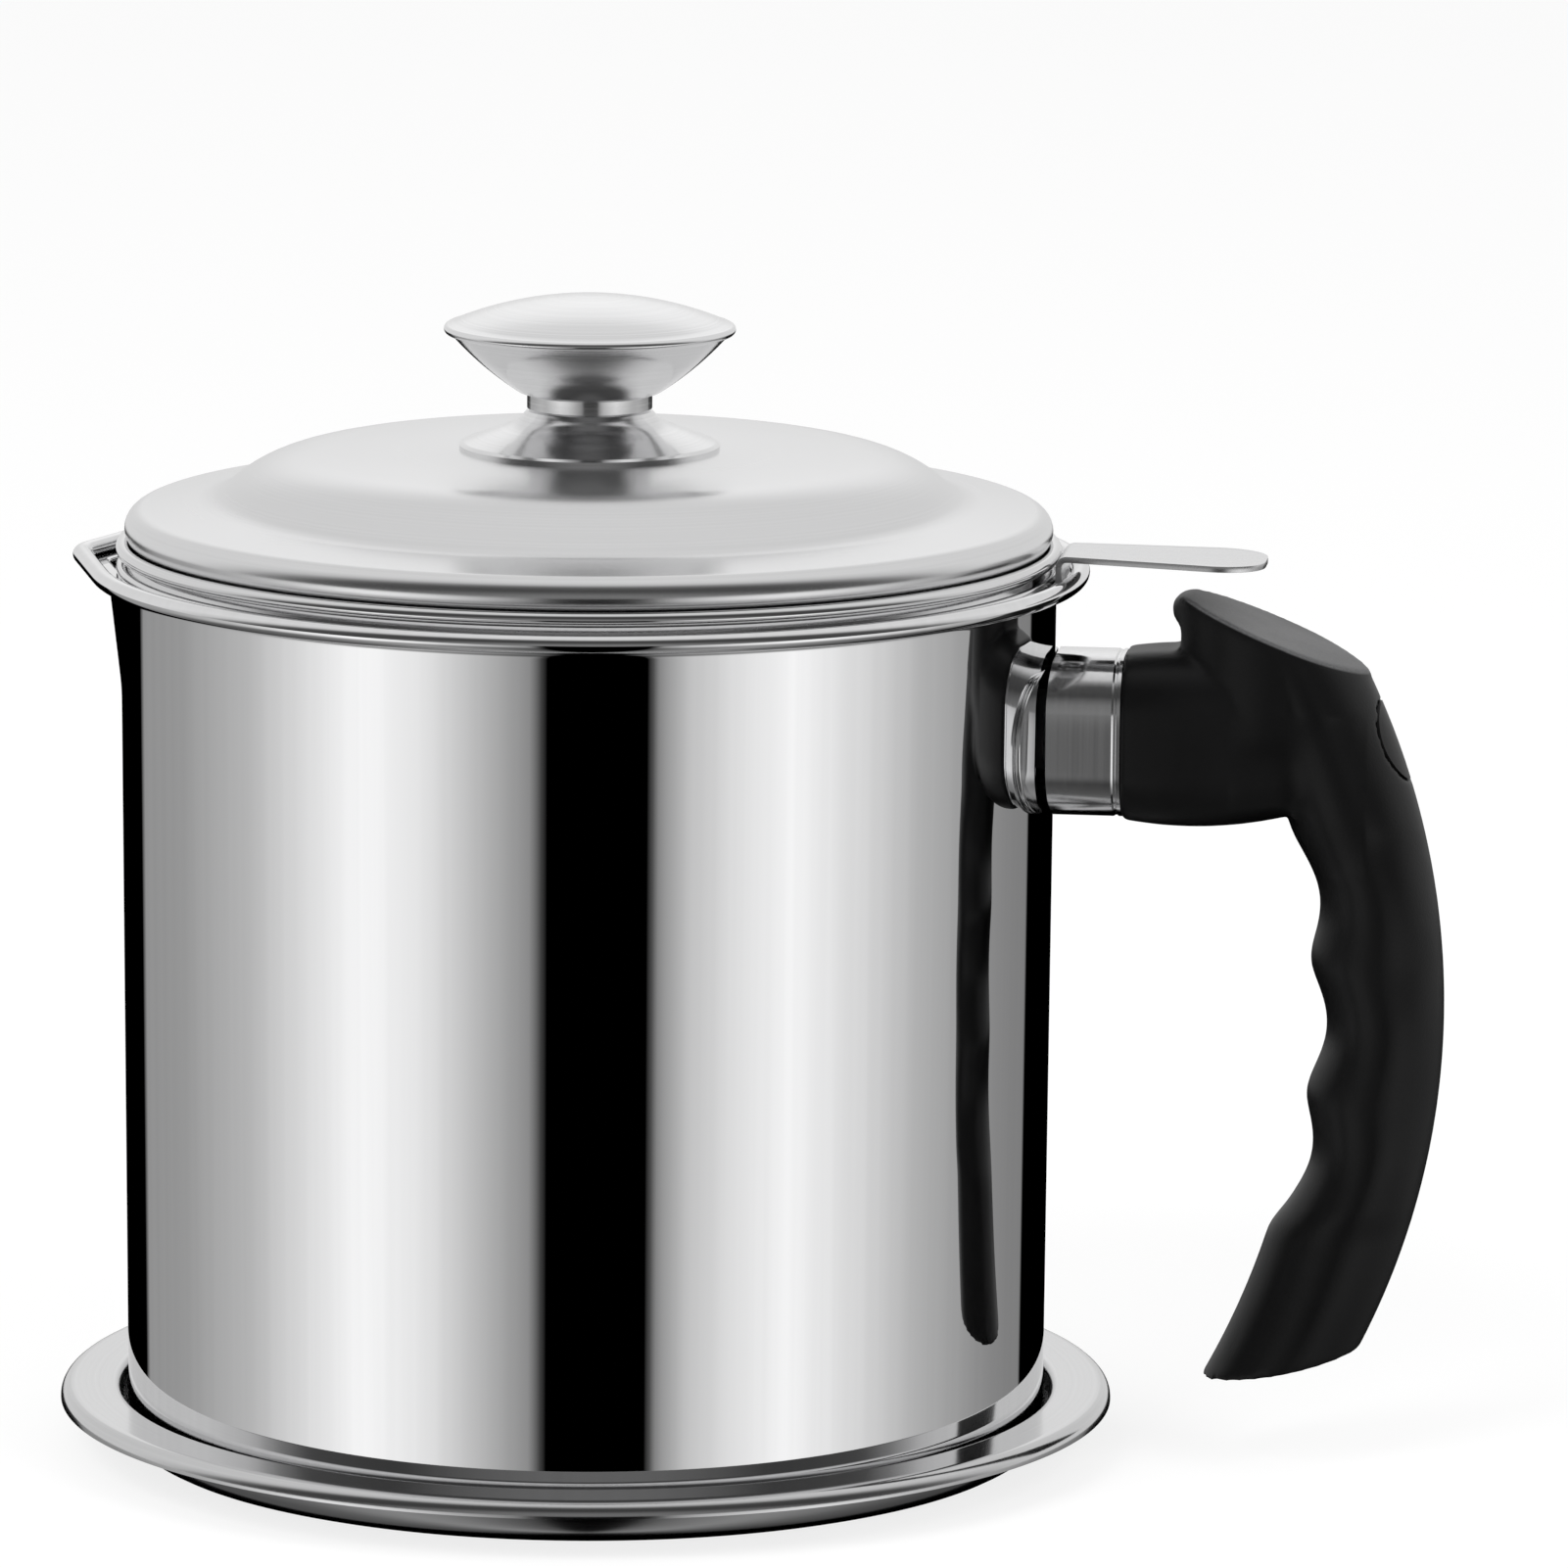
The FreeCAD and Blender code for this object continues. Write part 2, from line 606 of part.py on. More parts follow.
def make_strainer_tab():
    """Flat thumb tab whose bent leg is welded to the strainer's rim bead and stop bead."""
    contact = f"({STRAINER_BEAD_RADIUS}+strainer_bead-weld_sink)"
    root = f"({contact}-tab_root_length)"
    leg = f"({contact}+tab_leg_thickness)"
    end = f"({contact}+tab_length)"
    rise = "(strainer_rise+tab_lift)"
    under = f"({rise}-tab_sheet/2)"
    fall = "tab_length*tan(tab_slope)"
    body = new_body("strainer_tab", LEDGE_TOP)
    side = new_sketch(body, "tab_side")
    draw_outline(side, [
        (root, "tab_leg_bottom"),
        (leg, "tab_leg_bottom"),
        (leg, f"{under}-tab_bend"),
        (f"{leg}+tab_bend", under, "tab_bend", "right"),
        (end, f"{under}-{fall}"),
        (end, f"{under}-{fall}+tab_sheet"),
        (f"{leg}+tab_bend", f"{under}+tab_sheet"),
        (root, f"{under}+tab_sheet"),
    ])
    pad(body, "tab_blank", side, "tab_end_width+2*cut_margin", midplane=True)
    plan = new_sketch(body, "tab_plan", "XY_Plane")
    draw_outline(plan, [
        (f"{root}-2*cut_margin", "0-tab_end_width"),
        (f"{end}+cut_margin", "0-tab_end_width"),
        (f"{end}+cut_margin", "tab_end_width"),
        (f"{root}-2*cut_margin", "tab_end_width"),
    ])
    draw_outline(plan, [
        (f"{root}-cut_margin", "0-tab_root_width/2"),
        (f"{end}-tab_corner", "0-tab_end_width/2"),
        (end, "tab_corner-tab_end_width/2", "tab_corner", "left"),
        (end, "tab_end_width/2-tab_corner"),
        (f"{end}-tab_corner", "tab_end_width/2", "tab_corner", "left"),
        (f"{root}-cut_margin", "tab_root_width/2"),
    ])
    pocket(body, "tab_trim", plan, backwards=True)
    revolve(body, "tab_root", [
        ("0", "0-cut_margin"),
        (contact, "0-cut_margin"),
        (contact, f"{rise}+tab_sheet+cut_margin"),
        ("0", f"{rise}+tab_sheet+cut_margin"),
    ], "Groove")


# ---------------------------------------------------------------- lid and knob


def make_lid_shell():
    """Domed lid: a crown that falls gently, a steep brow, a conical shoulder and a rolled-in edge."""
    edge = LID_EDGE_RADIUS
    hollow = "(lid_edge_round-lid_sheet)"
    crown = f"({KNOB_BASE}+lid_crown_margin)"
    corner = f"({edge}-lid_shoulder_width)"
    brow = f"({corner}-lid_brow_width)"
    dome = f"(({brow}-{crown})/sin(lid_crown_tilt))"
    brow_height = f"(lid_crown_rise-({brow}-{crown})*tan(lid_crown_tilt/2))"
    steep = "asin(sin(lid_crown_tilt)+lid_brow_width/lid_brow_radius)"
    shoulder = f"({brow_height}-lid_brow_radius*(cos(lid_crown_tilt)-cos({steep})))"
    run = f"sqrt(lid_shoulder_width^2+{shoulder}^2)"
    slope = f"(atan({shoulder}/lid_shoulder_width)-asin(lid_edge_round/{run}))"
    body = new_body("lid_shell", LID_EDGE)
    revolve(body, "lid_sheet_metal", [
        (SCREW_HOLE, "lid_crown_rise-lid_sheet"),
        (crown, "lid_crown_rise-lid_sheet"),
        (
            f"{brow}-lid_sheet*sin(lid_crown_tilt)",
            f"{brow_height}-lid_sheet*cos(lid_crown_tilt)",
            f"{dome}-lid_sheet",
            "right",
        ),
        (
            f"{corner}-lid_sheet*sin({steep})",
            f"{shoulder}-lid_sheet*cos({steep})",
            "lid_brow_radius-lid_sheet",
            "right",
        ),
        (f"{corner}-lid_sheet*sin({slope})", f"{shoulder}-lid_sheet*cos({slope})", "lid_sheet", "left"),
        (f"{edge}+{hollow}*sin({slope})", f"{hollow}*cos({slope})"),
        (f"{edge}+{hollow}", "0", hollow, "right"),
        (edge, f"-{hollow}", hollow, "right"),
        (f"{edge}-lid_hem", f"-{hollow}"),
        (f"{edge}-lid_hem", "0-lid_edge_round"),
        (edge, "0-lid_edge_round"),
        (f"{edge}+lid_edge_round", "0", "lid_edge_round", "left"),
        (f"{edge}+lid_edge_round*sin({slope})", f"lid_edge_round*cos({slope})", "lid_edge_round", "left"),
        (corner, shoulder),
        (brow, brow_height, "lid_brow_radius", "left"),
        (crown, "lid_crown_rise", dome, "left"),
        (SCREW_HOLE, "lid_crown_rise"),
    ])


def make_knob_base():
    """Flared foot of the knob: a flat skirt that turns up into a narrow collar."""
    floor = "knob_base_height-knob_sheet"
    body = new_body("knob_base", CROWN)
    revolve(body, "knob_base_shell", [
        (SCREW_HOLE, floor),
        ("knob_neck_radius-knob_sheet", floor),
        (f"{KNOB_SKIRT}-knob_sheet", "knob_skirt_height-knob_sheet", "knob_flare+knob_sheet", "left"),
        (f"{KNOB_BASE}-knob_sheet", "knob_base_edge/2"),
        (f"{KNOB_BASE}-knob_sheet", "0"),
        (KNOB_BASE, "0"),
        (KNOB_BASE, "knob_base_edge"),
        (f"{KNOB_BASE}-knob_base_edge", "knob_base_edge+knob_base_bevel"),
        (KNOB_SKIRT, "knob_skirt_height"),
        ("knob_neck_radius", "knob_base_height", "knob_flare", "right"),
        (SCREW_HOLE, "knob_base_height"),
    ])


def make_knob_neck():
    """Turned collar between the knob's foot and its cone."""
    body = new_body("knob_neck", f"{CROWN}+knob_base_height")
    revolve(body, "knob_neck_collar", [
        (SCREW_HOLE, "knob_neck_height"),
        (SCREW_HOLE, "0"),
        ("knob_neck_radius-knob_neck_chamfer", "0"),
        ("knob_neck_radius", "knob_neck_chamfer"),
        ("knob_neck_radius", "knob_neck_height-knob_neck_chamfer"),
        ("knob_neck_radius-knob_neck_chamfer", "knob_neck_height"),
    ])


def make_knob_cone():
    """Spun cup that opens upwards, its side slightly convex."""
    across = f"knob_sheet*sqrt(1+{CONE_SLOPE}^2)"
    body = new_body("knob_cone", f"{CROWN}+{CONE_FLOOR}")
    revolve(body, "knob_cone_shell", [
        (SCREW_HOLE, "knob_sheet"),
        (SCREW_HOLE, "0"),
        (KNOB_CONE, "0"),
        (KNOB_CONE_TOP, "knob_cone_height", "knob_cone_bulge", "left"),
        (f"{KNOB_CONE_TOP}-{across}", "knob_cone_height"),
        (f"{KNOB_CONE}+knob_sheet*{CONE_SLOPE}-{across}", "knob_sheet", "knob_cone_bulge", "right"),
    ])


def make_knob_cap():
    """Domed cap with a round lip, seated on the cone's rim."""
    seat = f"({KNOB_CONE_TOP}-knob_cap_seat)"
    lip = f"({KNOB_CAP}-knob_cap_lip)"
    dome = f"(({lip}^2+knob_cap_rise^2)/(2*knob_cap_rise))"
    crown = "(knob_cap_lip*2+knob_cap_rise)"
    shoulder = f"({crown}-{dome}+sqrt({dome}^2-{seat}^2)-knob_sheet)"
    body = new_body("knob_cap", f"{CROWN}+{CONE_FLOOR}+knob_cone_height")
    revolve(body, "knob_cap_shell", [
        ("0", f"{crown}-knob_sheet"),
        (seat, shoulder, dome, "right"),
        (seat, "0"),
        (lip, "0"),
        (KNOB_CAP, "knob_cap_lip", "knob_cap_lip", "left"),
        (lip, "knob_cap_lip*2", "knob_cap_lip", "left"),
        ("0", crown, dome, "left"),
    ])


# ---------------------------------------------------------------- screws and washers


def make_screw(label, length, rise, reach="0", turn=None):
    """Pan-head machine screw: the head stands on the body's origin plane, the shank hangs below."""
    crown = "(screw_head_height/2)"
    body = new_body(label, rise, reach, turn)
    revolve(body, label + "_blank", [
        ("0", "screw_head_height", f"(screw_head_radius^2+{crown}^2)/(2*{crown})", "left"),
        ("0", f"-({length})"),
        ("screw_radius-screw_tip", f"-({length})"),
        ("screw_radius", f"screw_tip-({length})"),
        ("screw_radius", "0"),
        ("screw_head_radius", "0"),
        ("screw_head_radius", crown),
    ])
    arm = "screw_recess_length"
    half = "screw_recess_width/2"
    recess = new_sketch(body, label + "_recess", "XY_Plane", "screw_head_height")
    draw_outline(recess, [
        (half, arm), (f"-{half}", arm), (f"-{half}", half),
        (f"-({arm})", half), (f"-({arm})", f"-{half}"), (f"-{half}", f"-{half}"),
        (f"-{half}", f"-({arm})"), (half, f"-({arm})"), (half, f"-{half}"),
        (arm, f"-{half}"), (arm, half), (half, half),
    ])
    pocket(body, label + "_drive", recess, "screw_recess_depth")


def make_lock_washer(label, rise, reach="0", turn=None):
    """Split spring washer, drawn flat as it is when it is tightened."""
    body = ring(label, "lock_washer_radius", SCREW_HOLE, "lock_washer_sheet", rise, reach, turn)
    gap = new_sketch(body, label + "_gap", "XY_Plane", "lock_washer_sheet")
    draw_outline(gap, [
        ("0", "0-lock_washer_gap/2"),
        ("washer_radius", "0-lock_washer_gap/2"),
        ("washer_radius", "lock_washer_gap/2"),
        ("0", "lock_washer_gap/2"),
    ])
    pocket(body, label + "_split", gap, "lock_washer_sheet")


def make_knob_fasteners():
    """Washers and screw under the lid, and the threaded boss inside the cone that they pull on."""
    head_down = FreeCAD.Rotation(FreeCAD.Vector(1, 0, 0), 180)
    stack = "washer_sheet+lock_washer_sheet"
    length = f"({stack}+lid_sheet+{CONE_FLOOR}+knob_sheet+knob_insert_height)"
    ring("knob_insert", "knob_insert_radius", "screw_radius", "knob_insert_height",
         f"{CROWN}+{CONE_FLOOR}+knob_sheet")
    ring("knob_washer", "washer_radius", SCREW_HOLE, "washer_sheet",
         f"{LID_UNDERSIDE}-washer_sheet")
    make_lock_washer("knob_lock_washer", f"{LID_UNDERSIDE}-{stack.replace('+', '-')}")
    make_screw("knob_screw", length, f"{LID_UNDERSIDE}-{stack.replace('+', '-')}", turn=head_down)


# ---------------------------------------------------------------- handle


def saddle_groove(body, name):
    """Trim a handle piece to the saddle's outer surface."""
    low = f"({wall_radius(ARM_HEIGHT + '-ferrule_height')}+saddle_sheet)"
    high = f"({wall_radius(ARM_HEIGHT + '+ferrule_height')}+saddle_sheet)"
    revolve(body, name, [
        ("0", "0-ferrule_height"),
        (low, "0-ferrule_height"),
        (high, "ferrule_height"),
        ("0", "ferrule_height"),
    ], "Groove")


def make_handle_saddle():
    """Curved oval plate that follows the pot's wall."""
    low = wall_radius(f"{ARM_HEIGHT}-saddle_height/2")
    high = wall_radius(f"{ARM_HEIGHT}+saddle_height/2")
    body = new_body("handle_saddle", ARM_AXIS)
    revolve(body, "saddle_band", [
        (low, "0-saddle_height/2"),
        (f"{low}+saddle_sheet", "0-saddle_height/2"),
        (f"{high}+saddle_sheet", "saddle_height/2"),
        (high, "saddle_height/2"),
    ], sweep="2*atan(saddle_width/pot_mouth_radius)")
    plan = new_sketch(body, "saddle_outline", "YZ_Plane")
    draw_outline(plan, rounded_rectangle("saddle_width", "saddle_height", "saddle_corner"))
    draw_outline(plan, [
        ("0-saddle_width", "0-saddle_height"),
        ("saddle_width", "0-saddle_height"),
        ("saddle_width", "saddle_height"),
        ("0-saddle_width", "saddle_height"),
    ])
    pocket(body, "saddle_trim", plan, backwards=True)


def make_handle_ferrule():
    """Oval tube between the saddle and the grip."""
    back = "(pot_mouth_radius-ferrule_width/2)"
    bore = "-2*ferrule_sheet"
    body = new_body("handle_ferrule", ARM_AXIS)
    section = new_sketch(body, "ferrule_section", "YZ_Plane", back)
    draw_outline(section, rounded_rectangle("ferrule_width", "ferrule_height", "ferrule_corner"))
    draw_outline(section, rounded_rectangle(
        f"ferrule_width{bore}", f"ferrule_height{bore}", "(ferrule_corner-ferrule_sheet)"))
    pad(body, "ferrule_tube", section, f"{GRIP_START}-{back}")
    saddle_groove(body, "ferrule_foot")


def make_handle_stud():
    """Threaded boss on the saddle, inside the ferrule."""
    back = "(pot_mouth_radius-stud_radius)"
    body = new_body("handle_stud", ARM_AXIS)
    section = new_sketch(body, "stud_section", "YZ_Plane", back)
    draw_circle(section, "stud_radius")
    draw_circle(section, "screw_radius")
    pad(body, "stud_tube", section, f"{GRIP_START}-stud_gap-{back}")
    saddle_groove(body, "stud_foot")


def make_handle_fasteners():
    """Screw and split washer at the bottom of the grip's recess."""
    head_out = FreeCAD.Rotation(FreeCAD.Vector(0, 1, 0), 90)
    length = "screw_seat_length+lock_washer_sheet+stud_gap+stud_engagement"
    make_lock_washer("handle_lock_washer", ARM_AXIS, SCREW_SEAT, head_out)
    make_screw("handle_screw", length, ARM_AXIS, f"{SCREW_SEAT}+lock_washer_sheet", head_out)


def spine_at(height):
    """Reach of the grip's curved spine at a height measured from the arm's axis."""
    radius = number("spine_radius")
    rise = height + number("spine_drop")
    return number(f"{GRIP_START}+spine_length") - radius + math.sqrt(radius**2 - rise**2)


# control points round the grip: share of the depth from the fingers, share of half the width
FINGER_SIDE = (-0.03, 0)
PALM_SIDE = (1.04, 0)
FLANK = [(0.06, 0.50), (0.25, 0.92), (0.50, 1.05), (0.72, 0.94), (0.92, 0.55)]


def grip_section(height, depth, width):
    """Control points round the grip at a height: blunt at the fingers, widest near the middle."""
    far_flank = [(share, -side) for share, side in reversed(FLANK)]
    outer = spine_at(height)
    points = []
    for share, side in [FINGER_SIDE] + FLANK + [PALM_SIDE] + far_flank:
        points.append(FreeCAD.Vector(outer - depth * (1 - share), side * width / 2, height))
    return points


def solid_from_sections(sections):
    """Close a smooth surface, guided by rings of control points, with a flat face at each end."""
    around = len(sections[0])
    along = len(sections)
    surface = Part.BSplineSurface()
    surface.buildFromPolesMultsKnots(
        [[section[index] for section in sections] for index in range(around)],
        [1] * (around + 1), [4] + [1] * (along - 4) + [4],
        list(range(around + 1)), list(range(along - 2)),
        True, False, 3, 3,
    )
    side = surface.toShape()
    ends = [edge for edge in side.Edges if edge.BoundBox.ZLength < 0.001]
    shell = Part.Shell([side] + [Part.Face(Part.Wire(edge)) for edge in ends])
    shell.sewShape()
    return Part.Solid(shell)


def arm_section(reach, width, height, corner):
    """Rounded rectangle of the grip's arm at a reach, across the X axis."""
    place = FreeCAD.Vector(reach, -width / 2, -height / 2)
    block = Part.makeBox(number("cut_margin"), width, height, place)
    edges = [edge for edge in block.Edges if abs(edge.tangentAt(edge.FirstParameter).x) > 0.99]
    rounded = block.makeFillet(corner, edges)
    return next(face.OuterWire for face in rounded.Faces if abs(face.CenterOfMass.x - reach) < 0.001)


def half_space(reach, height, angle, below):
    """Large block that fills the side below or above a line across the grip, seen from the side."""
    size = number(f"{GRIP_START}+spine_length")
    lift = -size if below else 0
    block = Part.makeBox(2 * size, size, size, FreeCAD.Vector(-size, -size / 2, lift))
    block.rotate(FreeCAD.Vector(), FreeCAD.Vector(0, 1, 0), angle)
    block.translate(FreeCAD.Vector(reach, 0, height))
    return block


def make_grip_bar():
    """Upright part of the grip: a scallop for each of three fingers, then a plain tail."""
    scallops = 3
    pitch = number("finger_pitch")
    top = -number("finger_top")
    bottom = top - scallops * pitch
    step = pitch / 8
    ceiling = number("bar_rise")
    floor = -number(f"{ARM_HEIGHT}-tail_clearance") - number("tail_depth") / 2
    sections = []
    for index in range(round((ceiling - floor) / step) + 1):
        height = ceiling - index * step
        if height > top:
            sections.append(grip_section(height, number("grip_depth"), number("elbow_width")))
        elif height < bottom:
            sections.append(grip_section(height, number("tail_depth"), number("tail_width")))
        else:
            wave = abs(math.sin(math.pi * (top - height) / pitch)) ** number("finger_roundness")
            depth = number("grip_depth") - number("finger_depth") * wave
            sections.append(grip_section(height, depth, number("grip_width")))
    return solid_from_sections(sections)


def make_grip_arm():
    """Level part of the grip, from the ferrule to the elbow."""
    start = number(GRIP_START)
    elbow = start + number("elbow_length")
    over = 2 * number("arm_overhang")
    corner = number("ferrule_corner")
    return Part.makeLoft([
        arm_section(start, number("ferrule_width") + over, number("ferrule_height") + over, corner),
        arm_section((start + elbow) / 2, number("elbow_width"), number("elbow_height"), corner),
        arm_section(elbow + corner, number("elbow_width") - corner, number("elbow_height") - corner,
                    corner / 2),
    ], True)


def thumb_lip():
    """Where the flat thumb rest starts, tangent to the top of its rounded nose."""
    radius = number("nose_radius")
    tilt = math.radians(number("thumb_angle"))
    reach = number(f"{GRIP_START}+nose_setback") + radius * math.sin(tilt)
    return FreeCAD.Vector(reach, 0, number("nose_rise") + radius * math.cos(tilt))


def make_thumb_rest():
    """Blank of the ridge above the arm: a rounded nose seen from the side, a lens from above."""
    reach = number(f"{GRIP_START}+nose_setback")
    rise = number("nose_rise")
    radius = number("nose_radius")
    undercut = number("nose_undercut")
    neck = number("nose_neck")
    half = number("thumb_width") / 2
    arm_top = number("ferrule_height/2+arm_overhang")
    front = reach - radius
    back = front + number("thumb_length")
    ceiling = rise + 3 * radius
    waist = reach - undercut
    waist_rise = rise - math.sqrt(radius**2 - undercut**2)
    diagonal = neck * (1 - math.sqrt(0.5))
    lip = thumb_lip()

    def at(x, z):
        """Point in the grip's middle plane."""
        return FreeCAD.Vector(x, 0, z)

    outline = Part.Wire([
        Part.Arc(at(waist - neck, arm_top), at(waist - diagonal, arm_top + diagonal),
                 at(waist, arm_top + neck)).toShape(),
        Part.LineSegment(at(waist, arm_top + neck), at(waist, waist_rise)).toShape(),
        Part.Arc(at(waist, waist_rise), at(front, rise), lip).toShape(),
        Part.LineSegment(lip, at(lip.x, ceiling)).toShape(),
        Part.LineSegment(at(lip.x, ceiling), at(back, ceiling)).toShape(),
        Part.LineSegment(at(back, ceiling), at(back, 0)).toShape(),
        Part.LineSegment(at(back, 0), at(waist - neck, 0)).toShape(),
        Part.LineSegment(at(waist - neck, 0), at(waist - neck, arm_top)).toShape(),
    ])
    slab = Part.Face(outline).extrude(FreeCAD.Vector(0, 4 * half, 0))
    slab.translate(FreeCAD.Vector(0, -2 * half, 0))
    middle = (front + back) / 2
    lens = Part.Wire([
        Part.Arc(at(front, 0), FreeCAD.Vector(middle, -half, 0), at(back, 0)).toShape(),
        Part.Arc(at(back, 0), FreeCAD.Vector(middle, half, 0), at(front, 0)).toShape(),
    ])
    return slab.common(Part.Face(lens).extrude(UP * 2 * ceiling))


def grip_rod(radius, start, end):
    """Cylinder along the arm's axis between two reaches."""
    place = FreeCAD.Vector(number(start), 0, 0)
    return Part.makeCylinder(number(radius), number(f"{end}-({start})"), place, FreeCAD.Vector(1, 0, 0))


def add_moulding(label, shape):
    """Add a moulded piece, its shape drawn from the arm's axis."""
    feature = document.addObject("Part::Feature", label)
    feature.Label = label
    feature.Shape = shape
    feature.setExpression("Placement.Base.z", cells(ARM_AXIS))
    parts.append(feature)


def make_handle_grip():
    """Moulded grip, bored for its screw, and the plug that closes the bore flush with the spine."""
    lip = thumb_lip()
    tail = -number(f"{ARM_HEIGHT}-tail_clearance")
    outside = f"({GRIP_START}+spine_length)"
    blank = make_grip_bar().fuse([make_grip_arm(), make_thumb_rest()])
    blank = blank.cut(half_space(lip.x, lip.z, number("thumb_angle"), below=False))
    blank = blank.cut(half_space(spine_at(tail), tail, -number("tail_angle"), below=True))
    bore = grip_rod(SCREW_HOLE, f"{GRIP_START}-cut_margin", SCREW_SEAT)
    recess = grip_rod("screw_head_radius+screw_recess_clearance", SCREW_SEAT, outside)
    mouth = grip_rod("plug_radius", PLUG_SEAT, outside)
    add_moulding("handle_grip", blank.cut([bore, recess, mouth]))
    add_moulding("handle_plug", blank.common(grip_rod("plug_radius-plug_clearance", PLUG_SEAT, outside)))


# ---------------------------------------------------------------- whole pot


def check_and_export():
    """Make sure that every object and shape is sound, then write one STEP file for each part."""
    document.recompute()
    for item in document.Objects:
        if "Invalid" in item.State or "Error" in item.State:
            raise RuntimeError(f"{item.Name} did not rebuild: {item.State}")
    for part in parts:
        shape = part.Shape
        if shape.isNull() or not shape.isValid() or shape.Volume <= 0 or len(shape.Solids) != 1:
            raise RuntimeError(f"{part.Label} is not one valid solid")
    os.makedirs("parts", exist_ok=True)
    for part in parts:
        part.Shape.exportStep(f"parts/{part.Label}.step")


def main():
    """Make every piece, then check and export them."""
    fill_sheet()
    make_tray()
    make_pot_body()
    make_handle_saddle()
    make_handle_ferrule()
    make_handle_stud()
    make_handle_grip()
    make_handle_fasteners()
    make_strainer_bowl()
    make_strainer_screen()
    make_strainer_tab()
    make_lid_shell()
    make_knob_base()
    make_knob_neck()
    make_knob_cone()
    make_knob_cap()
    make_knob_fasteners()
    check_and_export()


main()
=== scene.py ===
"""Studio scene of a steel grease strainer pot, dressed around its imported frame.

+Z is up, +X runs from the pot's axis to the handle and the spout points along -X.
Lengths are metres and angles radians, unless a name says otherwise.
"""

import logging
import math
from dataclasses import dataclass
from enum import Enum

import bmesh
import bpy
from mathutils import Matrix, Vector


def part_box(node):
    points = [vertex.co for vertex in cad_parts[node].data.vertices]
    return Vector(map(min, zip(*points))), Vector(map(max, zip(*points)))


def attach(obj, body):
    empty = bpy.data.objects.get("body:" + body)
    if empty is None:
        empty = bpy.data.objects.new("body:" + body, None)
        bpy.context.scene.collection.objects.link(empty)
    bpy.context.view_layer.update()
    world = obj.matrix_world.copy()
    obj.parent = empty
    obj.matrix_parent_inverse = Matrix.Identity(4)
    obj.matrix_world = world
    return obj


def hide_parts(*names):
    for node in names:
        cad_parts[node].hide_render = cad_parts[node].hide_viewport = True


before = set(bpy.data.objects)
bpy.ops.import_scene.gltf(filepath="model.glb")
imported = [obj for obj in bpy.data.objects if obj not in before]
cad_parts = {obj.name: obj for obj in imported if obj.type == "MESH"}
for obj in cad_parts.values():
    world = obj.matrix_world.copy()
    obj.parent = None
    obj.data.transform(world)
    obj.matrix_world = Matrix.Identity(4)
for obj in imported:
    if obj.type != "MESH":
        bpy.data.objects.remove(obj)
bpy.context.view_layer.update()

UP = Vector((0, 0, 1))
WHITE = (1, 1, 1, 1)
QUARTER_TURN = math.pi / 2
HALF_TURN = math.pi
CREASE = math.radians(32)
MERGE_DISTANCE = 1e-7
FULL_TURN_STEPS = 256
ARC_STEP = math.radians(11)
ARC_CHORD = 0.0012
SUPPORT_INSET = 0.00012
FLOOR_SPANS = 12
EDGE_SPANS = 3
# values between which the middle of a noise lies
NOISE_DARK = 0.3
NOISE_LIGHT = 0.7

Colour = tuple[float, float, float]
Socket = bpy.types.NodeSocket

log = logging.getLogger("grease_pot")


# ------------------------------------------------------------------ sections and meshes


class Turn(Enum):
    """Side to which an arc bends as its outline is drawn."""

    LEFT = 1
    RIGHT = -1


def on_circle(radius: float, height: float, bend: float, angle: float) -> tuple[float, float]:
    """Point on a circle in a section.

    Args:
        radius: distance of the circle's centre from the axis.
        height: height of its centre.
        bend: the circle's own radius.
        angle: direction of the point from the centre.

    Returns:
        The point's distance from the axis, and its height.
    """
    return radius + bend * math.cos(angle), height + bend * math.sin(angle)


